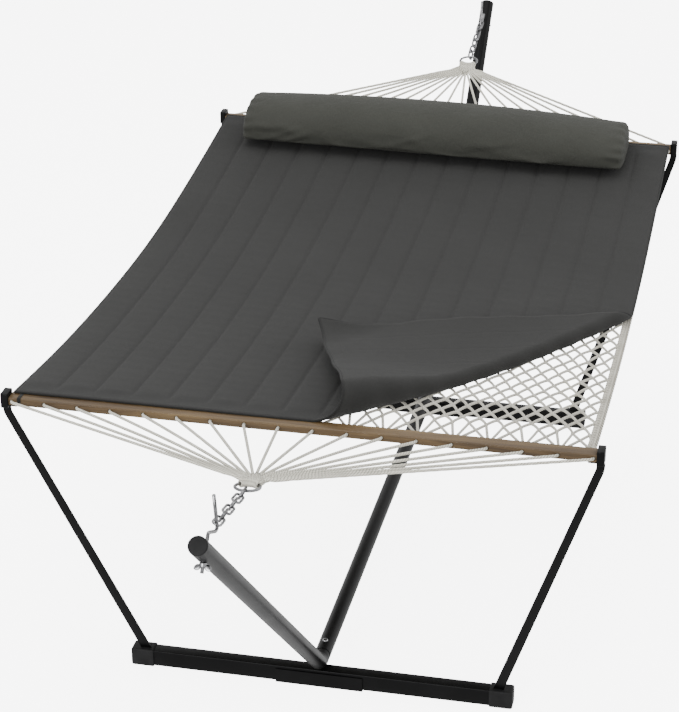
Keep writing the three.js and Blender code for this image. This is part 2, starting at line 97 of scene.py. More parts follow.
class Side(Enum):
    """Left or right as seen from the front."""

    LEFT = "left"
    RIGHT = "right"

    def sign(self, end: End) -> float:
        """The sign of x before the end is turned, so that names stay as seen from the front."""
        plain = 1.0 if self is Side.RIGHT else -1.0
        return plain if end is End.FRONT else -plain


@dataclass(frozen=True)
class Coat:
    """A finished material and the name of the record's material slot that it is meant for."""

    material: bpy.types.Material
    slot: str


def settle(piece: bpy.types.Object, coat: Coat, *nodes: str, body: str = "stand") -> None:
    """Gives a piece its coat's material and its place in the frame.

    Args:
        piece: The new object.
        coat: Its material and slot.
        nodes: CAD nodes that it stands for.
        body: The body it rides on.
    """
    piece.data.materials.append(coat.material)
    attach(piece, body)
    if nodes:
        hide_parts(*nodes)
    LOG.info("%s: %d faces", piece.name, len(piece.data.polygons))


# --------------------------------------------------------------------------- meshes


class Draft:
    """Points, faces and cloth coordinates gathered before they become one mesh."""

    def __init__(self) -> None:
        """Starts an empty draft."""
        self.points: list[Array] = []
        self.quads: list[Array] = []
        self.quad_uv: list[Array] = []
        self.tris: list[Array] = []
        self.tri_uv: list[Array] = []
        self.count = 0

    def keep(self, points: Array) -> int:
        """Adds points and gives the number of the first."""
        first = self.count
        flat = points.reshape(-1, 3)
        self.points.append(flat)
        self.count += len(flat)
        return first

    def grid(self, points: Array, uv: Array | None = None, wrap: bool = False,
             caps: bool = False) -> "Draft":
        """Adds one or many grids of quads.

        Faces run through each grid cell; where the grid wraps, the last column joins the first.

        Args:
            points: (rows, columns, 3) or (copies, rows, columns, 3).
            uv: Matching coordinates, with one column more where the grid wraps.
            wrap: True where the columns close on themselves.
            caps: True to close the first and last row with a fan about its middle.

        Returns:
            This draft, so that calls chain.
        """
        stack = points if points.ndim == 4 else points[None]
        copies, rows, cols, _ = stack.shape
        wide = cols + 1 if wrap else cols
        uv = np.zeros(2) if uv is None else uv
        uv = np.broadcast_to(uv if uv.ndim != 3 else uv[None], (copies, rows, wide, 2))
        first = self.keep(stack)
        b, i, j = np.meshgrid(np.arange(copies), np.arange(rows - 1), np.arange(wide - 1),
                              indexing="ij")
        start, after = first + b * rows * cols, (j + 1) % cols
        quad = [start + i * cols + j, start + (i + 1) * cols + j,
                start + (i + 1) * cols + after, start + i * cols + after]
        self.quads.append(np.stack(quad, -1).reshape(-1, 4))
        loops = [uv[b, i, j], uv[b, i + 1, j], uv[b, i + 1, j + 1], uv[b, i, j + 1]]
        self.quad_uv.append(np.stack(loops, -2).reshape(-1, 4, 2))
        if caps:
            for row, turn in ((0, 1), (rows - 1, -1)):
                middle = self.keep(stack[:, row].mean(axis=1))
                b, j = np.meshgrid(np.arange(copies), np.arange(cols), indexing="ij")
                rim = first + b * rows * cols + row * cols
                ends = [rim + j, rim + (j + 1) % cols][::turn]
                self.tris.append(np.stack([middle + b, *ends], -1).reshape(-1, 3))
                at = uv[b, row, np.minimum(j, wide - 1)]
                self.tri_uv.append(np.stack([at, at, at], -2).reshape(-1, 3, 2))
        return self

    def bar(self, points: Array, uv: Array | None = None) -> "Draft":
        """Adds one or many closed bars, whose columns run round them, with both ends capped."""
        return self.grid(points, uv, wrap=True, caps=True)

    def slab(self, top: Array, bottom: Array, uv: Array) -> "Draft":
        """Adds a closed sheet from two matching grids, joined all round their rims.

        Args:
            top: (rows, columns, 3) upper face.
            bottom: (rows, columns, 3) lower face.
            uv: (rows, columns, 2) coordinates for both.

        Returns:
            This draft.
        """
        rows, cols = top.shape[:2]
        first = self.keep(np.stack([top, bottom]))
        number = first + np.arange(2 * rows * cols).reshape(2, rows, cols)

        def weave(a: Array, b: Array, ua: Array, ub: Array) -> None:
            """Joins two matching lines or grids of numbers with quads."""
            quad = [a[:-1], a[1:], b[1:], b[:-1]]
            loop = [ua[:-1], ua[1:], ub[1:], ub[:-1]]
            self.quads.append(np.stack(quad, -1).reshape(-1, 4))
            self.quad_uv.append(np.stack(loop, -2).reshape(-1, 4, 2))

        up, down = number
        weave(up[:, 1:], up[:, :-1], uv[:, 1:], uv[:, :-1])
        weave(down[:, :-1], down[:, 1:], uv[:, :-1], uv[:, 1:])
        weave(up[:, 0], down[:, 0], uv[:, 0], uv[:, 0])
        weave(down[:, -1], up[:, -1], uv[:, -1], uv[:, -1])
        weave(down[0], up[0], uv[0], uv[0])
        weave(up[-1], down[-1], uv[-1], uv[-1])
        return self

    def build(self, name: str, sharp: float | None = None, mend: bool = False) -> bpy.types.Object:
        """Turns the draft into an object at the origin.

        Args:
            name: The object's name.
            sharp: Angle in degrees past which an edge is drawn sharp, or None.
            mend: True to have the normals worked out again.

        Returns:
            The new object, linked to the scene.
        """
        points = np.concatenate(self.points)
        faces, loops, sizes = [], [], []
        for group, coords, corners in ((self.quads, self.quad_uv, 4), (self.tris, self.tri_uv, 3)):
            if group:
                faces.append(np.concatenate(group).ravel())
                loops.append(np.concatenate(coords).reshape(-1, 2))
                sizes.append(np.full(len(faces[-1]) // corners, corners))
        index, sizes = np.concatenate(faces), np.concatenate(sizes)
        starts = np.concatenate([[0], np.cumsum(sizes)[:-1]])
        mesh = bpy.data.meshes.new(name)
        mesh.vertices.add(len(points))
        mesh.vertices.foreach_set("co", points.astype(np.float32).ravel())
        mesh.loops.add(len(index))
        mesh.loops.foreach_set("vertex_index", index.astype(np.int32))
        mesh.polygons.add(len(sizes))
        mesh.polygons.foreach_set("loop_start", starts.astype(np.int32))
        mesh.polygons.foreach_set("use_smooth", np.ones(len(sizes), dtype=bool))
        layer = mesh.uv_layers.new(name="UVMap")
        layer.data.foreach_set("uv", np.concatenate(loops).astype(np.float32).ravel())
        mesh.update(calc_edges=True)
        if mend:
            work = bmesh.new()
            work.from_mesh(mesh)
            bmesh.ops.recalc_face_normals(work, faces=work.faces)
            work.to_mesh(mesh)
            work.free()
        if sharp is not None:
            mesh.set_sharp_from_angle(angle=math.radians(sharp))
        made = bpy.data.objects.new(name, mesh)
        bpy.context.scene.collection.objects.link(made)
        return made

    def finish(self, name: str, coat: Coat, *nodes: str, sharp: float | None = None,
               mend: bool = True, body: str = "stand") -> bpy.types.Object:
        """Builds the piece, coats it and puts it in the frame.

        Args:
            name: The object's name.
            coat: Its material and slot.
            nodes: CAD nodes that it stands for.
            sharp: Angle in degrees past which an edge is drawn sharp, or None.
            mend: True to have the normals worked out again.
            body: The body it rides on.

        Returns:
            The new object.
        """
        piece = self.build(name, sharp, mend)
        settle(piece, coat, *nodes, body=body)
        return piece


def unit(vectors: Array) -> Array:
    """Vectors divided by their own length."""
    return vectors / np.maximum(np.linalg.norm(vectors, axis=-1, keepdims=True), 1e-12)


def smooth(low: float, high: float, value: Array) -> Array:
    """The cubic step from 0 at low to 1 at high."""
    t = np.clip((value - low) / (high - low), 0.0, 1.0)
    return t * t * (3.0 - 2.0 * t)


def mix(a: Array | float, b: Array | float, part: Array | float) -> Array:
    """The point a part of the way from a to b."""
    return a + (b - a) * part


def joined(*axes: Array | float) -> Array:
    """Points whose coordinates are these, each spread out to the shape of the others."""
    return np.stack(np.broadcast_arrays(*axes), -1)


def line(start: Sequence[float], end: Sequence[float], count: int) -> Array:
    """Count points evenly spaced on the straight line between two points."""
    return mix(np.array(start, float), np.array(end, float), np.linspace(0, 1, count)[:, None])


def route(points: Iterable[Sequence[float]], radius: float, steps: int = 10) -> Array:
    """A polyline whose inner corners are rounded by quadratic curves.

    Each corner c becomes (1-t)^2 a + 2t(1-t) c + t^2 b, where a and b lie radius before and
    after it.

    Args:
        points: The corners.
        radius: How far from a corner its curve starts.
        steps: Points on each curve.

    Returns:
        (n, 3) points.
    """
    knots = [np.array(point, float) for point in points]
    pieces = [knots[0][None]]
    t = np.linspace(0, 1, steps)[:, None]
    for before, corner, after in zip(knots, knots[1:], knots[2:]):
        a = corner + unit(before - corner) * radius
        b = corner + unit(after - corner) * radius
        pieces.append((1 - t) ** 2 * a + 2 * t * (1 - t) * corner + t ** 2 * b)
    pieces.append(knots[-1][None])
    return np.concatenate(pieces)


def arc_length(path: Array) -> Array:
    """Distance along each path from its first point."""
    steps = np.linalg.norm(np.diff(path, axis=-2), axis=-1)
    return np.concatenate([np.zeros((*steps.shape[:-1], 1)), np.cumsum(steps, -1)], -1)


def sweep(path: Array, section: Array, up: Sequence[float] = (0, 0, 1),
          closed: bool = False) -> Array:
    """Carries a section along a path.

    The section's first coordinate is laid along tangent x up and its second along up, made
    square to the tangent.

    Args:
        path: (..., n, 3) points.
        section: (k, 2) or (..., n, k, 2) points, anticlockwise.
        up: A direction the path never runs along.
        closed: True where the path's last point leads back to its first.

    Returns:
        (..., n, k, 3) points.
    """
    around = np.roll(path, -1, -2) - np.roll(path, 1, -2)
    tangent = unit(around if closed else np.gradient(path, axis=-2))
    side = unit(np.cross(tangent, np.array(up, float)))
    lift = np.cross(side, tangent)
    return (path[..., None, :] + section[..., :1] * side[..., None, :]
            + section[..., 1:] * lift[..., None, :])


def circle(radius: float, sides: int) -> Array:
    """A circle of points, anticlockwise."""
    a = np.arange(sides) * FULL_TURN / sides
    return radius * np.stack([np.cos(a), np.sin(a)], -1)


def rounded(width: float, height: float, corner: float, steps: int = 4) -> Array:
    """A rectangle with round corners, anticlockwise: each corner is a quarter circle."""
    a = np.linspace(0, math.pi / 2, steps)
    quarter = corner * np.stack([np.cos(a), np.sin(a)], -1)
    reach = np.array([width / 2 - corner, height / 2 - corner])
    turns = [np.array([[1, 0], [0, 1]]), np.array([[0, 1], [-1, 0]]),
             np.array([[-1, 0], [0, -1]]), np.array([[0, -1], [1, 0]])]
    signs = [(1, 1), (-1, 1), (-1, -1), (1, -1)]
    return np.concatenate([quarter @ turn + reach * sign for turn, sign in zip(turns, signs)])


def ring_uv(path: Array, sides: int) -> Array:
    """Coordinates for a swept tube: once round in u, metres along in v."""
    around = np.linspace(0, 1, sides + 1)
    along = arc_length(path)
    return joined(around, along[..., None])


def tube(draft: Draft, path: Array, radius: float, sides: int, up: Sequence[float] = (0, 0, 1),
         end: End = End.FRONT) -> Draft:
    """Adds a round bar along one path or many."""
    points = end.turn(sweep(path, circle(radius, sides), up))
    return draft.bar(points, ring_uv(path, sides))


def loop_tube(draft: Draft, path: Array, radius: float, sides: int, up: Sequence[float],
              end: End) -> Draft:
    """Adds a round bar whose path closes on itself: its last ring is joined to its first."""
    rings = sweep(path, circle(radius, sides), up, closed=True)
    count = len(path)
    number = draft.keep(end.turn(rings)) + np.arange(count * sides).reshape(count, sides)
    i, j = np.meshgrid(np.arange(count), np.arange(sides), indexing="ij")
    ahead, after = (i + 1) % count, (j + 1) % sides
    quad = [number[i, j], number[ahead, j], number[ahead, after], number[i, after]]
    draft.quads.append(np.stack(quad, -1).reshape(-1, 4))
    span = arc_length(np.concatenate([path, path[:1]]))
    around = np.linspace(0, 1, sides + 1)
    loops = [(around[j], span[i]), (around[j], span[i + 1]),
             (around[j + 1], span[i + 1]), (around[j + 1], span[i])]
    draft.quad_uv.append(np.stack([np.stack(at, -1) for at in loops], -2).reshape(-1, 4, 2))
    return draft


def webbing(path: Array, width: float, thickness: float, corner: float, around: float) -> Draft:
    """A flat band along a path that stays square to X.

    Args:
        path: (n, 3) points.
        width: The band's width, along X.
        thickness: Its thickness.
        corner: Radius of its edges.
        around: Metres of cloth that once round the band takes up.

    Returns:
        A draft of the band.
    """
    band = rounded(width, thickness, corner, 3)
    wide = np.array([1.0, 0, 0])
    out = np.cross(unit(np.gradient(path, axis=0)), wide)
    points = path[:, None] + band[:, :1] * wide + band[:, 1:] * out[:, None]
    return Draft().bar(points, ring_uv(path, len(band)) * np.array([around, 1.0]))


def lathe(draft: Draft, profile: Sequence[tuple[float, float]], start: Sequence[float],
          direction: Sequence[float], sides: int = 32, end: End = End.FRONT) -> Draft:
    """Adds a turned piece: each profile point is a radius and a height along the axis."""
    axis = unit(np.array(direction, float))
    guide = np.array([1.0, 0, 0]) if abs(axis[0]) < 0.9 else np.array([0, 1.0, 0])
    side = unit(np.cross(axis, guide))
    lift = np.cross(side, axis)
    rows = np.array(profile, float)
    ring = circle(1.0, sides)
    points = (np.array(start, float) + rows[:, 1][:, None, None] * axis
              + rows[:, 0][:, None, None] * (ring[:, :1] * side + ring[:, 1:] * lift))
    return draft.bar(end.turn(points))


# --------------------------------------------------------------------------- materials


def arithmetic(operation: str, swapped: bool = False) -> Callable[..., "Shade"]:
    """Makes a method that joins a shade and another value in a Math node.

    Args:
        operation: The node's operation.
        swapped: True where the other value comes first.

    Returns:
        The method.
    """
    def method(self: "Shade", other: "Shade | float") -> "Shade":
        """The Math node of the two values."""
        return self.math(operation, *((other, self) if swapped else (self, other)))
    return method


class Shade:
    """A socket of a material, with the arithmetic that its node tree needs."""

    def __init__(self, ink: "Ink", socket: bpy.types.NodeSocket) -> None:
        """Wraps one output socket."""
        self.ink, self.socket = ink, socket

    def math(self, operation: str, *values: "Shade | float") -> "Shade":
        """A Math node of these values."""
        return self.ink.node("ShaderNodeMath", {"operation": operation},
                             dict(enumerate(values)))[0]

    __add__ = arithmetic("ADD")
    __sub__ = arithmetic("SUBTRACT")
    __rsub__ = arithmetic("SUBTRACT", swapped=True)
    __mul__ = arithmetic("MULTIPLY")
    __truediv__ = arithmetic("DIVIDE")
    least = arithmetic("MINIMUM")
    most = arithmetic("MAXIMUM")

    def sine(self) -> "Shade":
        """Sine of the value."""
        return self.math("SINE", self)

    def abs(self) -> "Shade":
        """Size of the value without its sign."""
        return self.math("ABSOLUTE", self)

    def fract(self) -> "Shade":
        """What is left of the value past its whole part."""
        return self.math("FRACT", self)

    def step(self, low: float, high: float) -> "Shade":
        """0 at low, 1 at high, smooth between them."""
        return self.ink.node("ShaderNodeMapRange", {"interpolation_type": "SMOOTHSTEP"},
                             {"Value": self, "From Min": low, "From Max": high})[0]


class Ink:
    """Builds one material's node tree."""

    def __init__(self, name: str) -> None:
        """Starts a material with an empty tree."""
        self.material = bpy.data.materials.new(name)
        self.material.use_nodes = True
        self.tree = self.material.node_tree
        self.tree.nodes.clear()

    def node(self, kind: str, settings: dict | None = None, inputs: dict | None = None,
             stops: Sequence[tuple[float, tuple]] = ()) -> list[Shade]:
        """Makes one node.

        Args:
            kind: The node's type.
            settings: Attributes set before the sockets.
            inputs: Socket name or number to a value or a Shade.
            stops: A colour ramp's places and colours.

        Returns:
            Its enabled outputs.
        """
        made = self.tree.nodes.new(kind)
        for key, value in (settings or {}).items():
            setattr(made, key, value)
        if stops:
            ramp = made.color_ramp.elements
            while len(ramp) > 1:
                ramp.remove(ramp[-1])
            for place, colour in stops[1:]:
                ramp.new(place).color = (*colour, 1.0)
            ramp[0].position, ramp[0].color = stops[0][0], (*stops[0][1], 1.0)
        for key, value in (inputs or {}).items():
            socket = made.inputs[key]
            if isinstance(value, Shade):
                self.tree.links.new(value.socket, socket)
            elif isinstance(value, tuple) and len(value) == 3 and socket.type == "RGBA":
                socket.default_value = (*value, 1.0)
            else:
                socket.default_value = value
        return [Shade(self, socket) for socket in made.outputs if socket.enabled]

    def place(self) -> Shade:
        """Object coordinates."""
        return self._coordinate("Object")

    def cloth(self) -> Shade:
        """The piece's own UV map."""
        return self._coordinate("UV")

    def _coordinate(self, name: str) -> Shade:
        """One output of the Texture Coordinate node."""
        made = self.tree.nodes.new("ShaderNodeTexCoord")
        return Shade(self, made.outputs[name])

    def split(self, vector: Shade) -> list[Shade]:
        """The vector's x, y and z."""
        return self.node("ShaderNodeSeparateXYZ", None, {0: vector})

    def scaled(self, vector: Shade, by: tuple[float, float, float]) -> Shade:
        """The vector with each axis multiplied by a number."""
        return self.node("ShaderNodeVectorMath", {"operation": "MULTIPLY"}, {0: vector, 1: by})[0]

    def noise(self, vector: Shade, scale: float, detail: float = 3.0, rough: float = 0.5,
              warp: float = 0.0) -> Shade:
        """Noise from 0 to 1, about 0.5 in the middle."""
        return self.node("ShaderNodeTexNoise", None, {
            "Vector": vector, "Scale": scale, "Detail": detail, "Roughness": rough,
            "Distortion": warp})[0]

    def blend(self, part: Shade | float, a: "Shade | tuple", b: "Shade | tuple") -> Shade:
        """Mixes two colours."""
        return self.node("ShaderNodeMix", {"data_type": "RGBA"}, {0: part, 6: a, 7: b})[0]

    def woven(self, flat: Shade, yarn: float, stretch: float, cloud: float) -> tuple[Shade, ...]:
        """The pattern of a plain weave.

        Args:
            flat: The cloth's own coordinates, in metres.
            yarn: Two yarns' width.
            stretch: How much longer slubs are than they are wide.
            cloud: Scale of the slow change in tone.

        Returns:
            The yarns' relief, the fine flecks and the tone, each 0 to 1.
        """
        u, v, _ = self.split(flat)
        weave = (u * (FULL_TURN / yarn)).sine() * (v * (FULL_TURN / yarn)).sine() * 0.5 + 0.5
        slub = self.noise(self.scaled(flat, (1.0, stretch, 1.0)), 60.0, 3.0, 0.6)
        fleck = self.noise(flat, 700.0, 2.0, 0.6)
        tone = slub * 0.3 + fleck * 0.3 + self.noise(flat, cloud, 3.0, 0.55) * 0.25 + weave * 0.15
        return weave * 0.6 + slub * 0.4, fleck, tone

    def ramp(self, value: Shade, *stops: tuple[float, tuple]) -> Shade:
        """A colour ramp over the value."""
        return self.node("ShaderNodeValToRGB", None, {0: value}, stops)[0]

    def bump(self, height: Shade, distance: float, strength: float = 1.0,
             under: Shade | None = None) -> Shade:
        """A Bump node whose height is 1 at distance metres."""
        inputs = {"Strength": strength, "Distance": distance, "Height": height}
        if under is not None:
            inputs["Normal"] = under
        return self.node("ShaderNodeBump", None, inputs)[0]

    def surface(self, **inputs: "Shade | float | tuple") -> bpy.types.Material:
        """Ends the tree in a Principled shader whose sockets are named with underscores."""
        named = {key.replace("_", " "): value for key, value in inputs.items()}
        shader = self.node("ShaderNodeBsdfPrincipled", None, named)[0]
        self.node("ShaderNodeOutputMaterial", None, {"Surface": shader})
        return self.material

    def fabric(self, colour: Shade, fleck: Shade, relief: Shade) -> bpy.types.Material:
        """Ends the tree as matt cloth with a faint sheen."""
        return self.surface(Base_Color=colour, Roughness=fleck * 0.12 + 0.82,
                            Specular_IOR_Level=0.25, Sheen_Weight=0.03, Sheen_Roughness=0.5,
                            Normal=relief)


@dataclass(frozen=True)
class PowderCoat:
    """Satin black paint baked on steel, a little paler where it is rubbed or dusty."""

    name: str = "powder_coat"
    dark: tuple = (0.0022, 0.0022, 0.0023)
    pale: tuple = (0.0045, 0.0045, 0.0047)
    rough: float = 0.32

    def build(self) -> bpy.types.Material:
        """Returns the material."""
        ink = Ink(self.name)
        spot = ink.place()
        cloud = ink.noise(spot, 7.0, 4.0, 0.6)
        grain = ink.noise(spot, 900.0, 2.0, 0.5)
        colour = ink.blend(cloud.step(0.4, 0.8), self.dark, self.pale)
        rough = cloud * 0.14 + grain * 0.08 + (self.rough - 0.08)
        return ink.surface(Base_Color=colour, Roughness=rough, Specular_IOR_Level=0.10,
                           Normal=ink.bump(grain, 0.00025, 0.35))


@dataclass(frozen=True)
class MouldedPlastic:
    """Matt black moulding with a fine spark texture."""

    name: str = "moulded_plastic"
    dark: tuple = (0.0070, 0.0070, 0.0072)
    pale: tuple = (0.012, 0.012, 0.0124)

    def build(self) -> bpy.types.Material:
        """Returns the material."""
        ink = Ink(self.name)
        spot = ink.place()
        grain = ink.noise(spot, 1400.0, 2.0, 0.6)
        cloud = ink.noise(spot, 30.0, 3.0)
        colour = ink.blend(cloud.step(0.35, 0.75), self.dark, self.pale)
        return ink.surface(Base_Color=colour, Roughness=grain * 0.12 + 0.5,
                           Specular_IOR_Level=0.14, Normal=ink.bump(grain, 0.0003, 0.5))


@dataclass(frozen=True)
class ZincPlate:
    """Bright zinc plate, slightly clouded, with fine scratches."""

    name: str = "zinc_plate"
    bright: tuple = (0.27, 0.27, 0.277)
    dull: tuple = (0.075, 0.075, 0.077)

    def build(self) -> bpy.types.Material:
        """Returns the material."""
        ink = Ink(self.name)
        spot = ink.place()
        cloud = ink.noise(spot, 60.0, 4.0, 0.6)
        scratch = ink.noise(ink.scaled(spot, (900.0, 60.0, 900.0)), 1.0, 2.0)
        colour = ink.blend(cloud.step(0.35, 0.75), self.bright, self.dull)
        return ink.surface(Base_Color=colour, Metallic=1.0, Roughness=cloud * 0.2 + 0.14,
                           Normal=ink.bump(scratch, 0.0002, 0.3))


@dataclass(frozen=True)
class Hardwood:
    """Brown stained hardwood: grain runs along x, with darker pores and a satin lacquer."""

    name: str = "hardwood"
    dark: tuple = (0.022, 0.012, 0.0062)
    mid: tuple = (0.086, 0.053, 0.0220)
    pale: tuple = (0.170, 0.112, 0.048)

    def build(self) -> bpy.types.Material:
        """Returns the material."""
        ink = Ink(self.name)
        spot = ink.place()
        figure = ink.noise(ink.scaled(spot, (2.2, 34.0, 34.0)), 1.0, 5.0, 0.62, 0.9)
        fibre = ink.noise(ink.scaled(spot, (18.0, 900.0, 900.0)), 1.0, 3.0, 0.6)
        broad = ink.noise(ink.scaled(spot, (3.0, 8.0, 8.0)), 1.0, 2.0)
        tone = figure * 0.62 + fibre * 0.25 + broad * 0.2
        colour = ink.ramp(tone, (0.36, self.dark), (0.52, self.mid), (0.7, self.pale))
        pores = fibre.step(0.62, 0.72)
        return ink.surface(Base_Color=ink.blend(pores * 0.5, colour, self.dark),
                           Roughness=fibre * 0.2 + 0.42, Coat_Weight=0.05,
                           Specular_IOR_Level=0.3,
                           Normal=ink.bump(fibre * 0.7 + figure * 0.3, 0.0006, 0.5))


@dataclass(frozen=True)
class TwistedRope:
    """Off-white yarn. The UV map runs once round in u and in metres along in v."""

    name: str = "twisted_rope"
    pale: tuple = (0.66, 0.64, 0.555)
    mid: tuple = (0.50, 0.48, 0.405)
    # groove_shade is painted shade: a dark colour laid into the grooves between strands.
    groove_shade: tuple = (0.17, 0.158, 0.125)
    strands: float = 3.0
    pitch: float = 0.024

    def build(self) -> bpy.types.Material:
        """Returns the material."""
        ink = Ink(self.name)
        u, v, _ = ink.split(ink.cloth())
        turn = u * self.strands - v * (self.strands / self.pitch)
        ridge = (turn * FULL_TURN).sine() * 0.5 + 0.5
        yarn = ((turn * 4.0 + v * 160.0) * FULL_TURN).sine() * 0.5 + 0.5
        fuzz = ink.noise(ink.place(), 1500.0, 3.0, 0.7)
        patch = ink.noise(ink.place(), 24.0, 2.0)
        colour = ink.blend(patch.step(0.35, 0.7) * 0.6 + fuzz * 0.2, self.pale, self.mid)
        # Painted shade: the grooves between strands are darkened towards groove_shade.
        colour = ink.blend(1.0 - ridge.step(0.0, 0.3), colour, self.groove_shade)
        return ink.surface(Base_Color=colour, Roughness=fuzz * 0.1 + 0.84, Sheen_Weight=0.15,
                           Normal=ink.bump(ridge * 0.7 + yarn * 0.2 + fuzz * 0.25, 0.0012, 0.7))


@dataclass(frozen=True)
class QuiltCloth:
    """Woven cloth of the pad, with painted shade along its seam lines. The UV map holds the flat
    cloth's place in metres.
    """

    name: str = "quilt_cloth"
    dark: tuple = (0.0118, 0.0118, 0.0111)
    pale: tuple = (0.0196, 0.0196, 0.0187)
    # seam is painted shade: a dark colour laid along the quilting seam and hem lines.
    seam: tuple = (0.0058, 0.0058, 0.0055)
    thread: tuple = (0.026, 0.026, 0.0247)
    channel: float = 0.0933333
    half: float = 0.70
    hem_line: float = 0.967
    yarn: float = 0.0016
    stitch: float = 0.006

    def build(self) -> bpy.types.Material:
        """Returns the material."""
        ink = Ink(self.name)
        flat = ink.cloth()
        u, v, _ = ink.split(flat)
        yarns, fleck, tone = ink.woven(flat, self.yarn, 14.0, 3.5)
        colour = ink.blend(tone.step(0.3, 0.7), self.dark, self.pale)

        across = ((u + self.half) / self.channel).fract()
        gap = across.least(1.0 - across) * self.channel
        hem = (v.abs() - self.hem_line).abs()
        inner = (v.abs() - self.hem_line).step(0.004, -0.001)
        line_mask = (1.0 - gap.step(0.0006, 0.0024)) * inner
        line_mask = line_mask.most(1.0 - hem.step(0.0006, 0.002))
        dash_v, dash_u = (((axis / self.stitch).fract() - 0.5).abs().step(0.32, 0.22)
                          for axis in (v, u))
        stitch = (1.0 - gap.step(0.0004, 0.0011)) * dash_v * inner
        stitch = stitch.most((1.0 - hem.step(0.0004, 0.0011)) * dash_u)
        # Painted shade: the seam and hem lines are darkened a little towards seam.
        colour = ink.blend(line_mask * 0.15, colour, self.seam)
        colour = ink.blend(stitch * 0.4, colour, self.thread)

        pucker = ink.noise(ink.scaled(flat, (14.0, 60.0, 1.0)), 1.0, 3.0, 0.6, 0.6)
        near = 1.0 - gap.step(0.002, 0.03)
        folds = ink.bump(pucker * near, 0.004, 0.20)
        relief = ink.bump(yarns, 0.0005, 0.5, folds)
        threads = ink.bump(stitch - line_mask * 0.8, 0.0006, 0.35, relief)
        return ink.fabric(colour, fleck, threads)


@dataclass(frozen=True)
class PlainCloth:
    """Woven cloth without quilting, for the bolster, its straps and the bindings."""

    name: str = "plain_cloth"
    dark: tuple = (0.0220, 0.0226, 0.0187)
    pale: tuple = (0.036, 0.037, 0.031)
    yarn: float = 0.0016
    crease: float = 0.5

    def build(self) -> bpy.types.Material:
        """Returns the material."""
        ink = Ink(self.name)
        yarns, fleck, tone = ink.woven(ink.cloth(), self.yarn, 12.0, 6.0)
        colour = ink.blend(tone.step(0.3, 0.7), self.dark, self.pale)
        rumple = ink.noise(ink.place(), 22.0, 4.0, 0.55, 1.2)
        soft = ink.bump(rumple, 0.006, self.crease)
        relief = ink.bump(yarns, 0.0005, 0.5, soft)
        return ink.fabric(colour, fleck, relief)


@dataclass
class Palette:
    """Every finish of the hammock, built once, with the record's slot for each."""

    steel: Coat = field(default_factory=lambda: Coat(PowderCoat().build(), "black_steel"))
    plastic: Coat = field(default_factory=lambda: Coat(MouldedPlastic().build(), "black_plastic"))
    zinc: Coat = field(default_factory=lambda: Coat(ZincPlate().build(), "bright_steel"))
    wood: Coat = field(default_factory=lambda: Coat(Hardwood().build(), "wood"))
    rope: Coat = field(default_factory=lambda: Coat(TwistedRope().build(), "rope"))
    cord: Coat = field(default_factory=lambda: Coat(TwistedRope(
        name="net_cord", pale=(0.56, 0.54, 0.47), mid=(0.42, 0.40, 0.34),
        pitch=0.012).build(), "rope"))
    pad: Coat = field(default_factory=lambda: Coat(QuiltCloth().build(), "pad_cloth"))
    binding: Coat = field(default_factory=lambda: Coat(PlainCloth(
        name="binding_cloth", dark=(0.0075, 0.0075, 0.0072), pale=(0.013, 0.013, 0.0125),
        crease=0.1).build(), "pad_cloth"))
    pillow: Coat = field(default_factory=lambda: Coat(PlainCloth().build(), "pillow_cloth"))


# --------------------------------------------------------------------------- stand


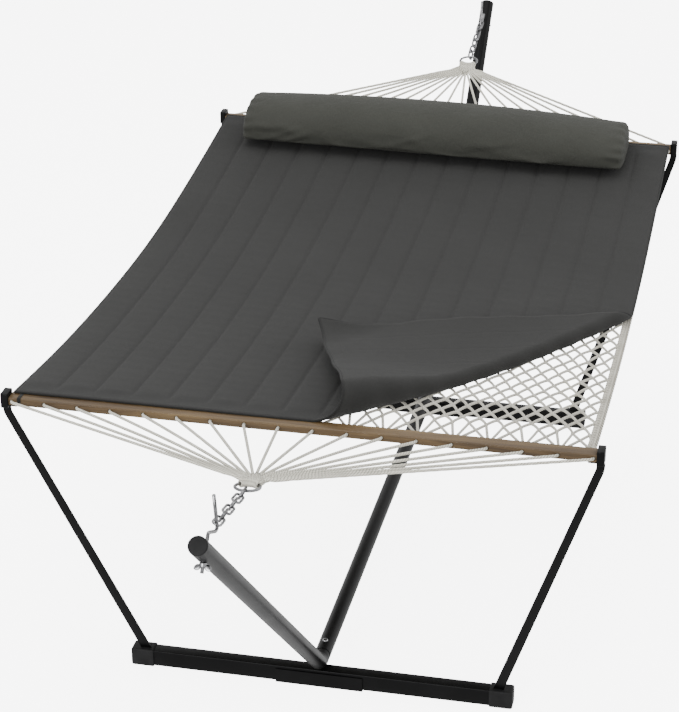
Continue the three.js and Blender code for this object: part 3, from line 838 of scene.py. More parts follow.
@dataclass
class Stand:
    """Beam, crossbars, arms, feet, stays and brackets. Sizes are metres."""

    palette: Palette
    tube_d: float = 0.042
    beam_z: float = 0.0697
    beam_half: float = 0.764
    crossbar_y: float = 0.789
    crossbar_half: float = 0.49
    crossbar_z: float = 0.0254
    spigot_r: float = 0.0187
    tip: tuple = (0.0, -1.866, 1.034)
    tilt: float = math.radians(42.15)
    bend: float = 0.062
    bracket_x: float = 0.7158
    bracket_y: float = 1.021
    bracket_top: float = 0.8895
    gap: float = 0.0003

    def up_arm(self) -> Array:
        """The front arm's direction, from its foot to its tip."""
        return np.array([0.0, -math.cos(self.tilt), math.sin(self.tilt)])

    def across_arm(self) -> Array:
        """Square to the front arm, up and inwards."""
        return np.array([0.0, math.sin(self.tilt), math.cos(self.tilt)])

    def foot_of_arm(self) -> Array:
        """Where the arm's centre line meets the beam's."""
        run = (self.tip[2] - self.beam_z) / math.tan(self.tilt)
        return np.array([0.0, self.tip[1] + run, self.beam_z])

    def build(self) -> None:
        """Makes every piece of the stand."""
        self.make_beam()
        for end in End:
            self.make_crossbar(end)
            self.make_arm(end)
            self.make_joint(end)
            for side in Side:
                self.make_foot(end, side)
                self.make_stay(end, side)

    def make_beam(self) -> None:
        """The beam: an open tube whose wall turns in at both rims."""
        outer, inner, lip = self.tube_d / 2, self.tube_d / 2 - 0.002, 0.0006
        stations = [(inner, 0.05), (inner, lip), (inner + lip, 0.0), (outer - lip, 0.0),
                    (outer, lip), (outer, 0.02)]
        rim = [(r, -self.beam_half + s) for r, s in stations]
        rows = [*rim, *((outer, y) for y in np.linspace(-0.7, 0.7, 15)),
                *((r, -y) for r, y in reversed(rim))]
        rings = np.array(rows)
        section = circle(1.0, 56)
        points = joined(rings[:, :1] * section[:, 0], rings[:, 1:],
                        self.beam_z + rings[:, :1] * section[:, 1])
        points = np.concatenate([points, points[:1]])
        Draft().grid(points, wrap=True).finish("beam_tube", self.palette.steel, "central_beam",
                                               sharp=40)

    def make_crossbar(self, end: End) -> None:
        """Crossbar of rounded tube with the saddle strip folded under and round it."""
        section = rounded(0.036, 0.046, 0.0032, 5)
        path = line((-self.crossbar_half, -self.crossbar_y, self.crossbar_z),
                    (self.crossbar_half, -self.crossbar_y, self.crossbar_z), 9)
        body = Draft().bar(end.turn(sweep(path, section)))
        body.finish(f"{end.value}_crossbar_tube", self.palette.steel, f"{end.value}_crossbar",
                    sharp=40)

        half, sheet, high, low = 0.0203, 0.0018, 0.040, 0.0001
        outer = half + sheet
        outline = np.array([
            (-outer, low + 0.0015), (-outer + 0.0015, low), (outer - 0.0015, low),
            (outer, low + 0.0015), (outer, high - 0.0006), (outer - 0.0006, high),
            (outer - sheet + 0.0004, high), (outer - sheet, high - 0.0006),
            (outer - sheet, low + sheet), (-outer + sheet, low + sheet),
            (-outer + sheet, high - 0.0006), (-outer + sheet - 0.0004, high),
            (-outer + 0.0006, high), (-outer, high - 0.0006)])
        reach = np.array([-0.115, -0.1144, -0.05, 0.05, 0.1144, 0.115])
        points = joined(reach[:, None], outline[:, 0] - self.crossbar_y, outline[:, 1])
        draft = Draft().grid(end.turn(points), wrap=True)
        ends = np.array([[0, 13, 10, 9], [0, 9, 8, 3], [3, 8, 7, 4], [13, 12, 11, 10],
                         [4, 7, 6, 5], [0, 3, 2, 1]])
        for row, flip in ((0, 1), (len(reach) - 1, -1)):
            draft.quads.append(row * len(outline) + ends[:, ::flip])
            draft.quad_uv.append(np.zeros((len(ends), 4, 2)))
        draft.finish(f"{end.value}_saddle_strip", self.palette.steel, f"{end.value}_saddle",
                     sharp=30)

    def make_foot(self, end: End, side: Side) -> None:
        """End foot: a rounded block whose outer end is domed and inner rim is rolled."""
        sign = side.sign(end)
        stations = np.array([
            (0.4450, 0.89), (0.4451, 0.955), (0.4462, 0.99), (0.4480, 1.0), (0.4560, 1.0),
            (0.4572, 0.985), (0.4584, 1.0), (0.4980, 1.0), (0.5020, 0.985), (0.5042, 0.94),
            (0.5053, 0.86), (0.5055, 0.75)])
        section = rounded(0.044, 0.051, 0.0055, 6)
        size = stations[:, 1][:, None, None] * section
        path = joined(sign * stations[:, 0], -self.crossbar_y, 0.0255)
        draft = Draft().bar(end.turn(sweep(path, size)))
        name = f"{end.value}_{side.value}_foot"
        draft.finish(f"{name}_cap", self.palette.plastic, name, sharp=35)

    def make_arm(self, end: End) -> None:
        """Round arm bent at its foot, the reduced spigot in the beam, and the end cap."""
        reach = self.bend * math.tan(self.tilt / 2)
        foot, tip = self.foot_of_arm(), np.array(self.tip)
        start = (0.0, -self.beam_half - self.gap, self.beam_z)
        path = route([start, foot, tip], reach, 18)
        straight = line(path[-2], tip, 14)
        path = np.concatenate([path[:-2], straight])
        radius = np.full(len(path), self.tube_d / 2)
        neck = np.array([[0.0, -0.655, self.beam_z], [0.0, -0.760, self.beam_z],
                         [0.0, -0.7640, self.beam_z]])
        whole = np.concatenate([neck, path])
        size = np.concatenate([np.full(len(neck), self.spigot_r), radius])
        size[len(neck)] = self.tube_d / 2 - 0.0012
        ring = circle(1.0, 48)
        points = sweep(whole, size[:, None, None] * ring, (1, 0, 0))
        draft = Draft().bar(end.turn(points), ring_uv(whole, 48))
        name = f"{end.value}_arm"
        draft.finish(f"{name}_tube", self.palette.steel, name, sharp=40)

        outer = self.tube_d / 2
        profile = [(0.0165, -0.012), (0.0168, self.gap), (outer - 0.0004, self.gap),
                   (outer, 0.0008), (outer, 0.0022), (outer - 0.0006, 0.0030),
                   (outer - 0.0018, 0.0037), (outer - 0.004, 0.0040)]
        cap = lathe(Draft(), profile, tip, self.up_arm(), 48, end)
        cap.finish(f"{name}_end_cap", self.palette.plastic, f"{name}_cap", sharp=40)

    def make_joint(self, end: End) -> None:
        """Dome-headed bolt through beam and spigot, with its nut underneath."""
        top = self.beam_z + self.tube_d / 2 + self.gap
        low = self.beam_z - self.tube_d / 2 - self.gap
        start = (0.0, -0.728, 0.0)
        a = np.linspace(0, math.pi / 2, 9)[:-1]
        dome = [(0.0075 * math.cos(t), top + 0.0006 + 0.0043 * math.sin(t)) for t in a]
        profile = [(0.0034, low - 0.0114), (0.004, low - 0.0108), (0.004, top), (0.0075, top),
                   *dome, (0.0009, top + 0.0049)]
        bolt = lathe(Draft(), profile, start, (0, 0, 1), 32, end)
        bolt.finish(f"{end.value}_dome_bolt", self.palette.zinc, f"{end.value}_joint_bolt",
                    sharp=40)
        nut = [(0.0066, low - 0.0065), (0.0075, low - 0.0058), (0.0075, low - 0.0007),
               (0.0066, low)]
        hexagon = lathe(Draft(), nut, start, (0, 0, 1), 6, end)
        hexagon.finish(f"{end.value}_hex_nut", self.palette.zinc, f"{end.value}_joint_nut",
                       sharp=20)

    def make_stay(self, end: End, side: Side) -> None:
        """Flat bar from the foot to the bar's bracket, and the bracket with its shelf."""
        sign = side.sign(end)
        top = np.array([sign * self.bracket_x, -self.bracket_y, self.bracket_top - 0.0383])
        knee = np.array([top[0], -self.bracket_y, 0.836])
        foot = np.array([sign * 0.461, -self.crossbar_y, 0.030])
        path = route([top, knee, foot], 0.011, 8)
        path = np.concatenate([path[:-1], line(path[-2], foot, 20)[1:]])
        part = (top[2] - path[:, 2]) / (top[2] - foot[2])
        section = rounded(1.0, 1.0, 0.12, 3)
        size = np.stack([mix(0.020, 0.026, part), np.full(len(path), 0.005)], -1)
        shape = np.stack([np.clip(section[:, 0] * size[:, :1], -size[:, :1] / 2, size[:, :1] / 2),
                          section[:, 1] * size[:, 1:]], -1)
        shape = self._ease(shape, size)
        draft = Draft().bar(end.turn(sweep(path, shape, (0, 1, 0))))
        name = f"{end.value}_{side.value}"
        draft.finish(f"{name}_flat_stay", self.palette.steel, f"{name}_stay", sharp=40)

        section = rounded(0.038, 0.038, 0.0025, 5)
        xs = np.array([0.7068, 0.7070, 0.7080, 0.7236, 0.7246, 0.7248])
        shrink = np.array([0.94, 0.975, 1.0, 1.0, 0.975, 0.94])
        block = joined(sign * xs, -self.bracket_y, self.bracket_top - 0.019)
        draft = Draft().bar(end.turn(sweep(block, shrink[:, None, None] * section)))
        shelf = joined(sign * np.array([0.6868, 0.6872, 0.712]), -1.016, 0.85645)
        plate = rounded(0.034, 0.0025, 0.0008, 3)
        thin = np.array([0.98, 1.0, 1.0])[:, None, None] * plate
        draft.bar(end.turn(sweep(shelf, thin)))
        draft.finish(f"{name}_bracket_block", self.palette.steel, f"{name}_bar_bracket", sharp=35)

    @staticmethod
    def _ease(shape: Array, size: Array) -> Array:
        """Rounds a stretched section's corners by the same small radius both ways.

        Args:
            shape: (n, k, 2) section scaled to width and thickness.
            size: (n, 2) width and thickness.

        Returns:
            The section with its corners 0.6 mm round.
        """
        corner = 0.0006
        place = np.abs(shape) / (size[:, None, :] / 2)
        near = np.clip((place - 0.76) / 0.24, 0, 1)
        edge = size[:, None, :] / 2 - corner * (1 - np.sqrt(np.clip(1 - (1 - near) ** 2, 0, 1)))
        return np.sign(shape) * np.where(place > 0.75, edge - corner * (1 - near), np.abs(shape))


# --------------------------------------------------------------------------- hardware


@dataclass
class Hardware:
    """Hook, wing nut, chain and ring at each end."""

    palette: Palette
    stand: Stand
    seat_from_tip: float = 0.066
    wire: float = 0.008
    low_corner: tuple = (0.0, -1.722, 0.994)
    near_corner: tuple = (0.0, -1.735, 0.993)
    shank: float = 0.042
    leg: float = 0.088
    thread_turns: int = 13
    thread_pitch: float = 0.0012
    thread_r: float = 0.0036
    thread_wire: float = 0.00055
    ring_wire: float = 0.007
    links: int = 6
    link_wire: float = 0.006
    link_width: float = 0.024
    slack: float = 0.0009
    twist: float = 0.42

    def seat(self) -> Array:
        """Where the hook's leg crosses the arm's centre line."""
        return np.array(self.stand.tip) - self.stand.up_arm() * self.seat_from_tip

    def low_point(self) -> Array:
        """The lowest corner of the hook's free leg."""
        return np.array(self.low_corner)

    def rise(self) -> Array:
        """The free leg's direction."""
        return np.array([0.0, -0.2, math.sqrt(1 - 0.04)])

    def build(self) -> None:
        """Makes every piece of hardware."""
        for end in End:
            self.make_hook(end)
            self.make_wing_nut(end)
            self.make_ring(end)
            self.make_chain(end)

    def make_hook(self, end: End) -> None:
        """Round bar through the arm, down into a narrow U and up a long leg."""
        across, seat = self.stand.across_arm(), self.seat()
        low, rise = self.low_point(), self.rise()
        path = route([seat - across * self.shank, seat + across * self.shank, self.near_corner,
                      low, low + rise * self.leg], 0.006, 12)
        draft = tube(Draft(), path, self.wire / 2, 20, (1, 0, 0), end)
        a = np.linspace(0, self.thread_turns * FULL_TURN, self.thread_turns * 14)
        side = np.array([1.0, 0, 0])
        ahead = np.cross(across, side)
        helix = (seat - across * (self.shank - 0.0005)
                 + np.outer(a / FULL_TURN * self.thread_pitch, across)
                 + self.thread_r * (np.outer(np.cos(a), side) + np.outer(np.sin(a), ahead)))
        tube(draft, helix, self.thread_wire, 5, tuple(across), end)
        draft.finish(f"{end.value}_hook_bar", self.palette.zinc, f"{end.value}_hook")

    def make_wing_nut(self, end: End) -> None:
        """Flared hub with two wings that swell and round off at their tips."""
        across = self.stand.across_arm()
        seat = self.seat() - across * (self.stand.tube_d / 2 + self.stand.gap)
        down = -across
        hub = [(0.0046, 0.0), (0.0080, 0.0), (0.0085, 0.0008), (0.0082, 0.003), (0.0068, 0.0085),
               (0.0062, 0.0098), (0.0046, 0.0100)]
        draft = lathe(Draft(), hub, seat, down, 28, end)
        axis_x = np.array([1.0, 0, 0])
        part = np.linspace(0, 1, 12)
        for side in (-1.0, 1.0):
            out = 0.0055 + part * 0.0128
            tall = (0.0034 + 0.0031 * np.sin(math.pi * np.clip(part, 0, 1) ** 0.8))
            tall *= np.sqrt(np.clip(1 - np.clip((part - 0.7) / 0.3, 0, 0.985) ** 2, 0, 1))
            thick = mix(0.0019, 0.0012, part) * np.sqrt(
                np.clip(1.02 - np.clip((part - 0.8) / 0.2, 0, 1) ** 2, 0.02, 1))
            path = (seat + np.outer(side * out, axis_x)
                    + np.outer(0.0055 + part * 0.0080, down))
            section = circle(1.0, 14) * np.stack([thick, tall], -1)[:, None, :]
            draft.bar(end.turn(sweep(path, section, tuple(down))))
        body = f"{end.value}_wing_nut"
        draft.finish(f"{end.value}_wings", self.palette.zinc, body, sharp=50, body=body)

    def make_ring(self, end: End) -> None:
        """Welded ring that lies in the plane of the ropes."""
        a = np.arange(72) * FULL_TURN / 72
        along = unit(np.array([0.0, -1.0, FAN_SLOPE]))
        path = (np.array([0, -RING_Y, RING_Z]) + RING_R
                * (np.outer(np.cos(a), (1, 0, 0)) + np.outer(np.sin(a), along)))
        square = np.cross((1.0, 0, 0), along)
        draft = loop_tube(Draft(), path, self.ring_wire / 2, 16, tuple(square), end)
        draft.finish(f"{end.value}_round_ring", self.palette.zinc, f"{end.value}_ring")

    def make_chain(self, end: End) -> None:
        """Six links, each turned a quarter from the last, with a weld bead on one side."""
        hook = self.low_point() + self.rise() * 0.0125
        ring = np.array([0, -RING_Y - RING_R, RING_Z + FAN_SLOPE * RING_R])
        direction = unit(ring - hook)
        start = hook - direction * (self.wire / 2 + self.stand.gap)
        finish = ring + direction * (self.ring_wire / 2 + self.stand.gap)
        pitch = np.linalg.norm(finish - start) / self.links
        radius = (self.link_width - self.link_wire) / 2
        straight = (pitch + 2 * self.slack + self.link_wire - 2 * radius) / 2
        across = np.array([1.0, 0, 0])
        square = unit(np.cross(direction, across))
        a = np.arange(40) * FULL_TURN / 40 + 0.01
        c, s = np.cos(a), np.sin(a)
        flat = np.stack([radius * c, radius * s + np.sign(s) * straight], -1)
        for number in range(self.links):
            angle = self.twist + (math.pi / 2 if number % 2 else 0.0)
            wide = across * math.cos(angle) + square * math.sin(angle)
            middle = start + (finish - start) * (number + 0.5) / self.links
            path = middle + np.outer(flat[:, 0], wide) + np.outer(flat[:, 1], direction)
            facing = tuple(np.cross(wide, direction))
            draft = loop_tube(Draft(), path, self.link_wire / 2, 12, facing, end)
            weld = middle + wide * radius
            bead = [(0.0030, -0.0030), (0.0035, -0.0012), (0.0035, 0.0012), (0.0030, 0.0030)]
            lathe(draft, bead, weld, direction, 12, end)
            name = f"{end.value}_chain_link_{number + 1}"
            draft.finish(f"{name}_wire", self.palette.zinc, name)


# --------------------------------------------------------------------------- rope work


@dataclass
class RopeWork:
    """Spreader bars, fans of rope, knotted net and braided borders."""

    palette: Palette
    bar_y: float = 1.016
    bar_half: float = 0.7065
    bar_high: float = 0.020
    holes: int = 18
    span: float = 1.40
    rope_r: float = 0.0038
    lay: float = 0.024
    clew_back: float = 1.402
    clew_front: float = 1.4475
    clew_taper: float = 0.022
    clew_half: tuple = (0.027, 0.021)
    ply_lift: float = 0.0026
    weft_rows: int = 16
    weft_r: float = 0.0027
    weft_lay: float = 0.014
    weft_wave: float = 0.0046
    ring_turns: int = 11
    ring_spread: float = 0.80
    turn_r: float = 0.0066
    turn_rope_r: float = 0.0030
    edge_z: float = 0.887
    net_columns: int = 33
    net_half: float = 0.67941
    net_end: float = 0.903
    net_rows: int = 48
    cord_r: float = 0.0034
    bow: float = 1.27
    net_wobble: float = 0.0017
    cord_sag: float = 0.0012
    knot_size: tuple = (0.0052, 0.0047, 0.0043)
    border_x: float = 0.689
    border_end: float = 0.9955
    border_drop: float = 0.0045
    stitch: float = 0.0160
    stitch_size: tuple = (0.0112, 0.0040, 0.0062)
    stitch_out: float = 0.0046
    stitch_slant: float = 0.62

    def hole_x(self) -> Array:
        """Places of the rope holes along a bar."""
        return np.linspace(-self.span / 2, self.span / 2, self.holes)

    def harness_z(self, y: Array | float) -> Array:
        """Height of the fan's plane at a place beyond the front bar."""
        return BAR_Z + FAN_SLOPE * np.maximum(0, -np.asarray(y) - BAR_FACE)

    def pad_top(self, y: Array) -> Array:
        """Height of the pad: level at the bars, sagging as a parabola and its square."""
        rise = 1 - np.minimum(1, np.abs(y) / 1.006) ** 2
        return self.edge_z - 0.0615 * rise - 0.013 * rise ** 2

    def net_z(self, y: Array) -> Array:
        """Height of the net: from the holes in the bars to just under the pad."""
        part = smooth(0, 0.09, 1.006 - np.abs(y))
        under = self.pad_top(y) - 0.0151
        return mix(BAR_Z, under, part)

    def build(self) -> None:
        """Makes the bars and everything that is roped to them."""
        for end in End:
            self.make_bar(end)
            self.make_fan(end)
        self.make_net()
        for side in Side:
            self.make_border(side)

    def make_bar(self, end: End) -> None:
        """Spreader bar with eased edges; each rope hole is a countersunk ring of dark bore."""
        node = f"{end.value}_spreader_bar"
        section = rounded(BAR_DEEP, self.bar_high, 0.0028, 6)
        xs = np.concatenate([[-self.bar_half, -self.bar_half + 0.0006],
                             np.linspace(-0.69, 0.69, 25),
                             [self.bar_half - 0.0006, self.bar_half]])
        ease = np.ones(len(xs))
        ease[[0, -1]] = 0.965
        path = joined(xs, -self.bar_y, BAR_Z)
        draft = Draft().bar(end.turn(sweep(path, ease[:, None, None] * section)))
        wood = draft.build(f"{node}_wood", 40, mend=True)
        depth = np.array([-0.03, -BAR_DEEP / 2 - 0.0004, -BAR_DEEP / 2 + 0.0012,
                          BAR_DEEP / 2 - 0.0012, BAR_DEEP / 2 + 0.0004, 0.03])
        wide = np.array([0.0056, 0.0056, 0.0045, 0.0045, 0.0056, 0.0056])
        lines = joined(self.hole_x()[:, None], -self.bar_y + depth, BAR_Z)
        cutter = Draft().bar(end.turn(sweep(lines, wide[:, None, None] * circle(1.0, 16))))
        tool = cutter.build(f"{node}_drill", mend=True)
        bore = wood.modifiers.new("holes", "BOOLEAN")
        bore.object, bore.solver, bore.operation = tool, "EXACT", "DIFFERENCE"
        shaped = bpy.data.meshes.new_from_object(
            wood.evaluated_get(bpy.context.evaluated_depsgraph_get()))
        wood.modifiers.clear()
        wood.data = shaped
        wood.data.set_sharp_from_angle(angle=math.radians(35))
        bpy.data.objects.remove(tool)
        wood.data.materials.clear()
        settle(wood, self.palette.wood, node)

    def twisted(self, draft: Draft, paths: Array, radius: float, end: End, sides: int = 10,
                up: Sequence[float] = (0, 0, 1), lay: float | None = None) -> None:
        """Adds three-strand rope: the radius swells over each strand as the section turns.

        The section's radius is R (0.84 + 0.16 |cos(1.5 (angle - 2 pi s / lay))|).

        Args:
            draft: Where the rope goes.
            paths: (..., n, 3) centre lines.
            radius: The rope's radius.
            end: The end it belongs to.
            sides: Points round the section.
            up: A direction the paths never run along.
            lay: Metres for one turn of the strands.
        """
        angle = np.arange(sides) * FULL_TURN / sides
        along = arc_length(paths)[..., None]
        turn = FULL_TURN * along / (lay or self.lay)
        swell = radius * (0.84 + 0.16 * np.abs(np.cos(1.5 * (angle - turn))))
        section = swell[..., None] * np.stack([np.cos(angle), np.sin(angle)], -1)
        draft.bar(end.turn(sweep(paths, section, up)), ring_uv(paths, sides))

    def make_fan(self, end: End) -> None:
        """Eighteen ropes from the bar, woven together before they loop round the ring."""
        draft = Draft()
        xs = self.hole_x()
        share = xs / xs[-1]
        t = np.linspace(0, 1, 150)
        inner = joined(xs, -BAR_FACE + BAR_DEEP + 0.004, BAR_Z)
        mouth = joined(xs, -BAR_FACE - 0.003, BAR_Z)
        peel = self.clew_back + self.clew_taper * np.abs(share)
        back = joined(share * self.clew_half[0], -peel, self.harness_z(-peel))
        front = joined(share * self.clew_half[1], -self.clew_front,
                       self.harness_z(-self.clew_front))
        knots = np.array([0.0, 0.07, 0.92, 1.0])
        stations = np.stack([inner, mouth, back, front], 1)
        paths = np.stack([np.stack([np.interp(t, knots, stations[k, :, axis])
                                    for axis in range(3)], -1) for k in range(self.holes)])
        kernel = np.array([1, 2, 3, 2, 1]) / 9.0
        eased = np.apply_along_axis(lambda row: np.convolve(
            np.pad(row, 2, mode="edge"), kernel, "valid"), 1, paths)
        layer = np.where(np.arange(self.holes) % 2, self.ply_lift, -self.ply_lift)
        woven = smooth(0.84, 0.93, t) * np.cos(t * 75.0)
        eased[..., 2] += layer[:, None] * woven
        self.twisted(draft, eased, self.rope_r, end, 10)

        rows, width = self.weft_rows, 36
        place = np.linspace(self.clew_back - 0.014, self.clew_front - 0.006, rows)
        s = np.linspace(-1, 1, width)
        half = np.interp(place, [self.clew_back - 0.014, self.clew_back + self.clew_taper,
                                 self.clew_front], [0.0030, 0.0275, 0.0225])
        wave = np.sin(s * math.pi * 9.0)[None, :] * np.where(np.arange(rows) % 2, 1, -1)[:, None]
        weft = joined(half[:, None] * s, -place[:, None] - 0.0012 * np.abs(s) ** 4,
                      self.harness_z(-place)[:, None] + self.weft_wave * wave)
        self.twisted(draft, weft, self.weft_r, end, 8, (0, 1, 0.2), self.weft_lay)

        self.make_ring_loops(draft, end)
        draft.finish(f"{end.value}_rope_fan", self.palette.rope, f"{end.value}_harness", mend=False)

    def make_ring_loops(self, draft: Draft, end: End) -> None:
        """Turns of rope round the ring, side by side, that hold the clew to it."""
        spread = np.linspace(-self.ring_spread, self.ring_spread, self.ring_turns)
        along = unit(np.array([0.0, 1.0, -FAN_SLOPE]))
        square = np.cross(along, (1.0, 0, 0))
        a = np.arange(20) * FULL_TURN / 20
        for angle in spread:
            out = np.array([math.sin(angle), 0, 0]) + along * math.cos(angle)
            centre = np.array([0, -RING_Y, RING_Z]) + out * RING_R
            path = centre + self.turn_r * (np.outer(np.cos(a), out) + np.outer(np.sin(a), square))
            tangent = np.cross(out, square)
            loop_tube(draft, path, self.turn_rope_r, 8, tuple(tangent), end)

    def make_net(self) -> None:
        """Diamond net: each knot joins two cords to the row before and two to the next."""
        pitch = 2 * self.net_half / self.net_columns
        rows = np.arange(self.net_rows + 1)
        ys = np.linspace(-self.net_end, self.net_end, self.net_rows + 1)
        even = -self.net_half + pitch * np.arange(self.net_columns + 1)
        odd = even[:-1] + pitch / 2
        rng = np.random.default_rng(7)
        knots = []
        for row in rows:
            xs = even if row % 2 == 0 else odd
            wobble = rng.normal(0, self.net_wobble, (len(xs), 3)) * np.array([1, 1.2, 0.5])
            knots.append(joined(xs, ys[row], self.net_z(ys[row])) + wobble)
        starts, ends = [], []
        for row in rows[:-1]:
            here, there = knots[row], knots[row + 1]
            if row % 2 == 0:
                starts += [here[:-1], here[1:]]
                ends += [there, there]
            else:
                starts += [here, here]
                ends += [there[:-1], there[1:]]
        cords = Draft()
        self.add_cords(cords, np.concatenate(starts), np.concatenate(ends), self.cord_sag,
                       self.bow)
        cords.finish("net_cords", self.palette.cord, "net_bed", mend=False)

        fans, xs = Draft(), self.hole_x()
        offsets = np.array([-1.5, -0.5, 0.5, 1.5]) * pitch
        for row, sign in ((0, -1.0), (self.net_rows, 1.0)):
            targets = np.clip(xs[:, None] + offsets, -self.net_half, self.net_half)
            nearest = np.abs(targets[..., None] - knots[row][:, 0]).argmin(-1)
            finish = knots[row][nearest].reshape(-1, 3)
            begin = joined(np.repeat(xs, 4) + np.tile(offsets, self.holes) * 0.06,
                           sign * (self.bar_y - 0.012),
                           BAR_Z + np.tile([0.001, -0.001], 2 * self.holes))
            self.add_cords(fans, begin, finish, self.cord_sag / 2)
        fans.finish("net_end_cords", self.palette.cord, mend=False)

        lumps = Draft()
        tilt = np.concatenate([np.full(len(k), 0.6 if i % 2 else -0.6)
                               for i, k in enumerate(knots)])
        self.blobs(lumps, np.concatenate(knots), self.knot_size, tilt)
        lumps.finish("net_knots", self.palette.cord)

    def add_cords(self, draft: Draft, start: Array, finish: Array, sag: float,
                  bow: float = 1.0) -> None:
        """Adds thin cords between pairs of points, each bowed down by sag at its middle."""
        t = np.linspace(0, 1, 5)[:, None]
        bowed = np.concatenate([t ** bow, 1 - (1 - t) ** bow, t], -1)
        paths = start[:, None] + (finish - start)[:, None] * bowed
        paths[..., 2] -= sag * 4 * (t * (1 - t))[:, 0]
        draft.grid(sweep(paths, circle(self.cord_r, 6)), ring_uv(paths, 6), wrap=True)

    def blobs(self, draft: Draft, centres: Array, size: Sequence[float], turn: Array) -> None:
        """Adds a small closed lump at each centre.

        Args:
            draft: Where the lumps go.
            centres: (n, 3) places.
            size: Half length, half width and half height.
            turn: (n,) turn of each lump's long axis from X, in plan.
        """
        rings = np.array([(0.25, -1.0), (0.8, -0.62), (1.0, 0.0), (0.8, 0.62), (0.25, 1.0)])
        ring = circle(1.0, 7)
        long = rings[:, 1:] * size[0]
        wide = rings[:, :1] * ring[:, 0] * size[1]
        high = rings[:, :1] * ring[:, 1] * size[2]
        c, s = np.cos(turn)[:, None, None], np.sin(turn)[:, None, None]
        points = joined(c * long - s * wide, s * long + c * wide, high)
        uv = joined(np.linspace(0, 1, len(ring) + 1), np.linspace(0, 0.01, len(rings))[:, None])
        draft.bar(points + centres[:, None, None], uv)

    def make_border(self, side: Side) -> None:
        """Braid along the net's edge: two rows of slanting stitches meet in a V on a core."""
        across = self.border_x * side.sign(End.FRONT)
        y = np.linspace(-self.border_end, self.border_end, 200)
        core = joined(across, y, self.net_z(y) - self.border_drop)
        draft = tube(Draft(), core, 0.0034, 8)
        y = np.arange(-self.border_end + self.stitch, self.border_end - self.stitch, self.stitch)
        for row in (-1, 1):
            spots = joined(across + row * self.stitch_out, y, self.net_z(y) - self.border_drop)
            slant = np.full(len(y), math.pi / 2 + row * self.stitch_slant)
            self.blobs(draft, spots, self.stitch_size, slant)
        draft.finish(f"{side.value}_border_plait", self.palette.cord, f"{side.value}_border_rope")


# --------------------------------------------------------------------------- pad


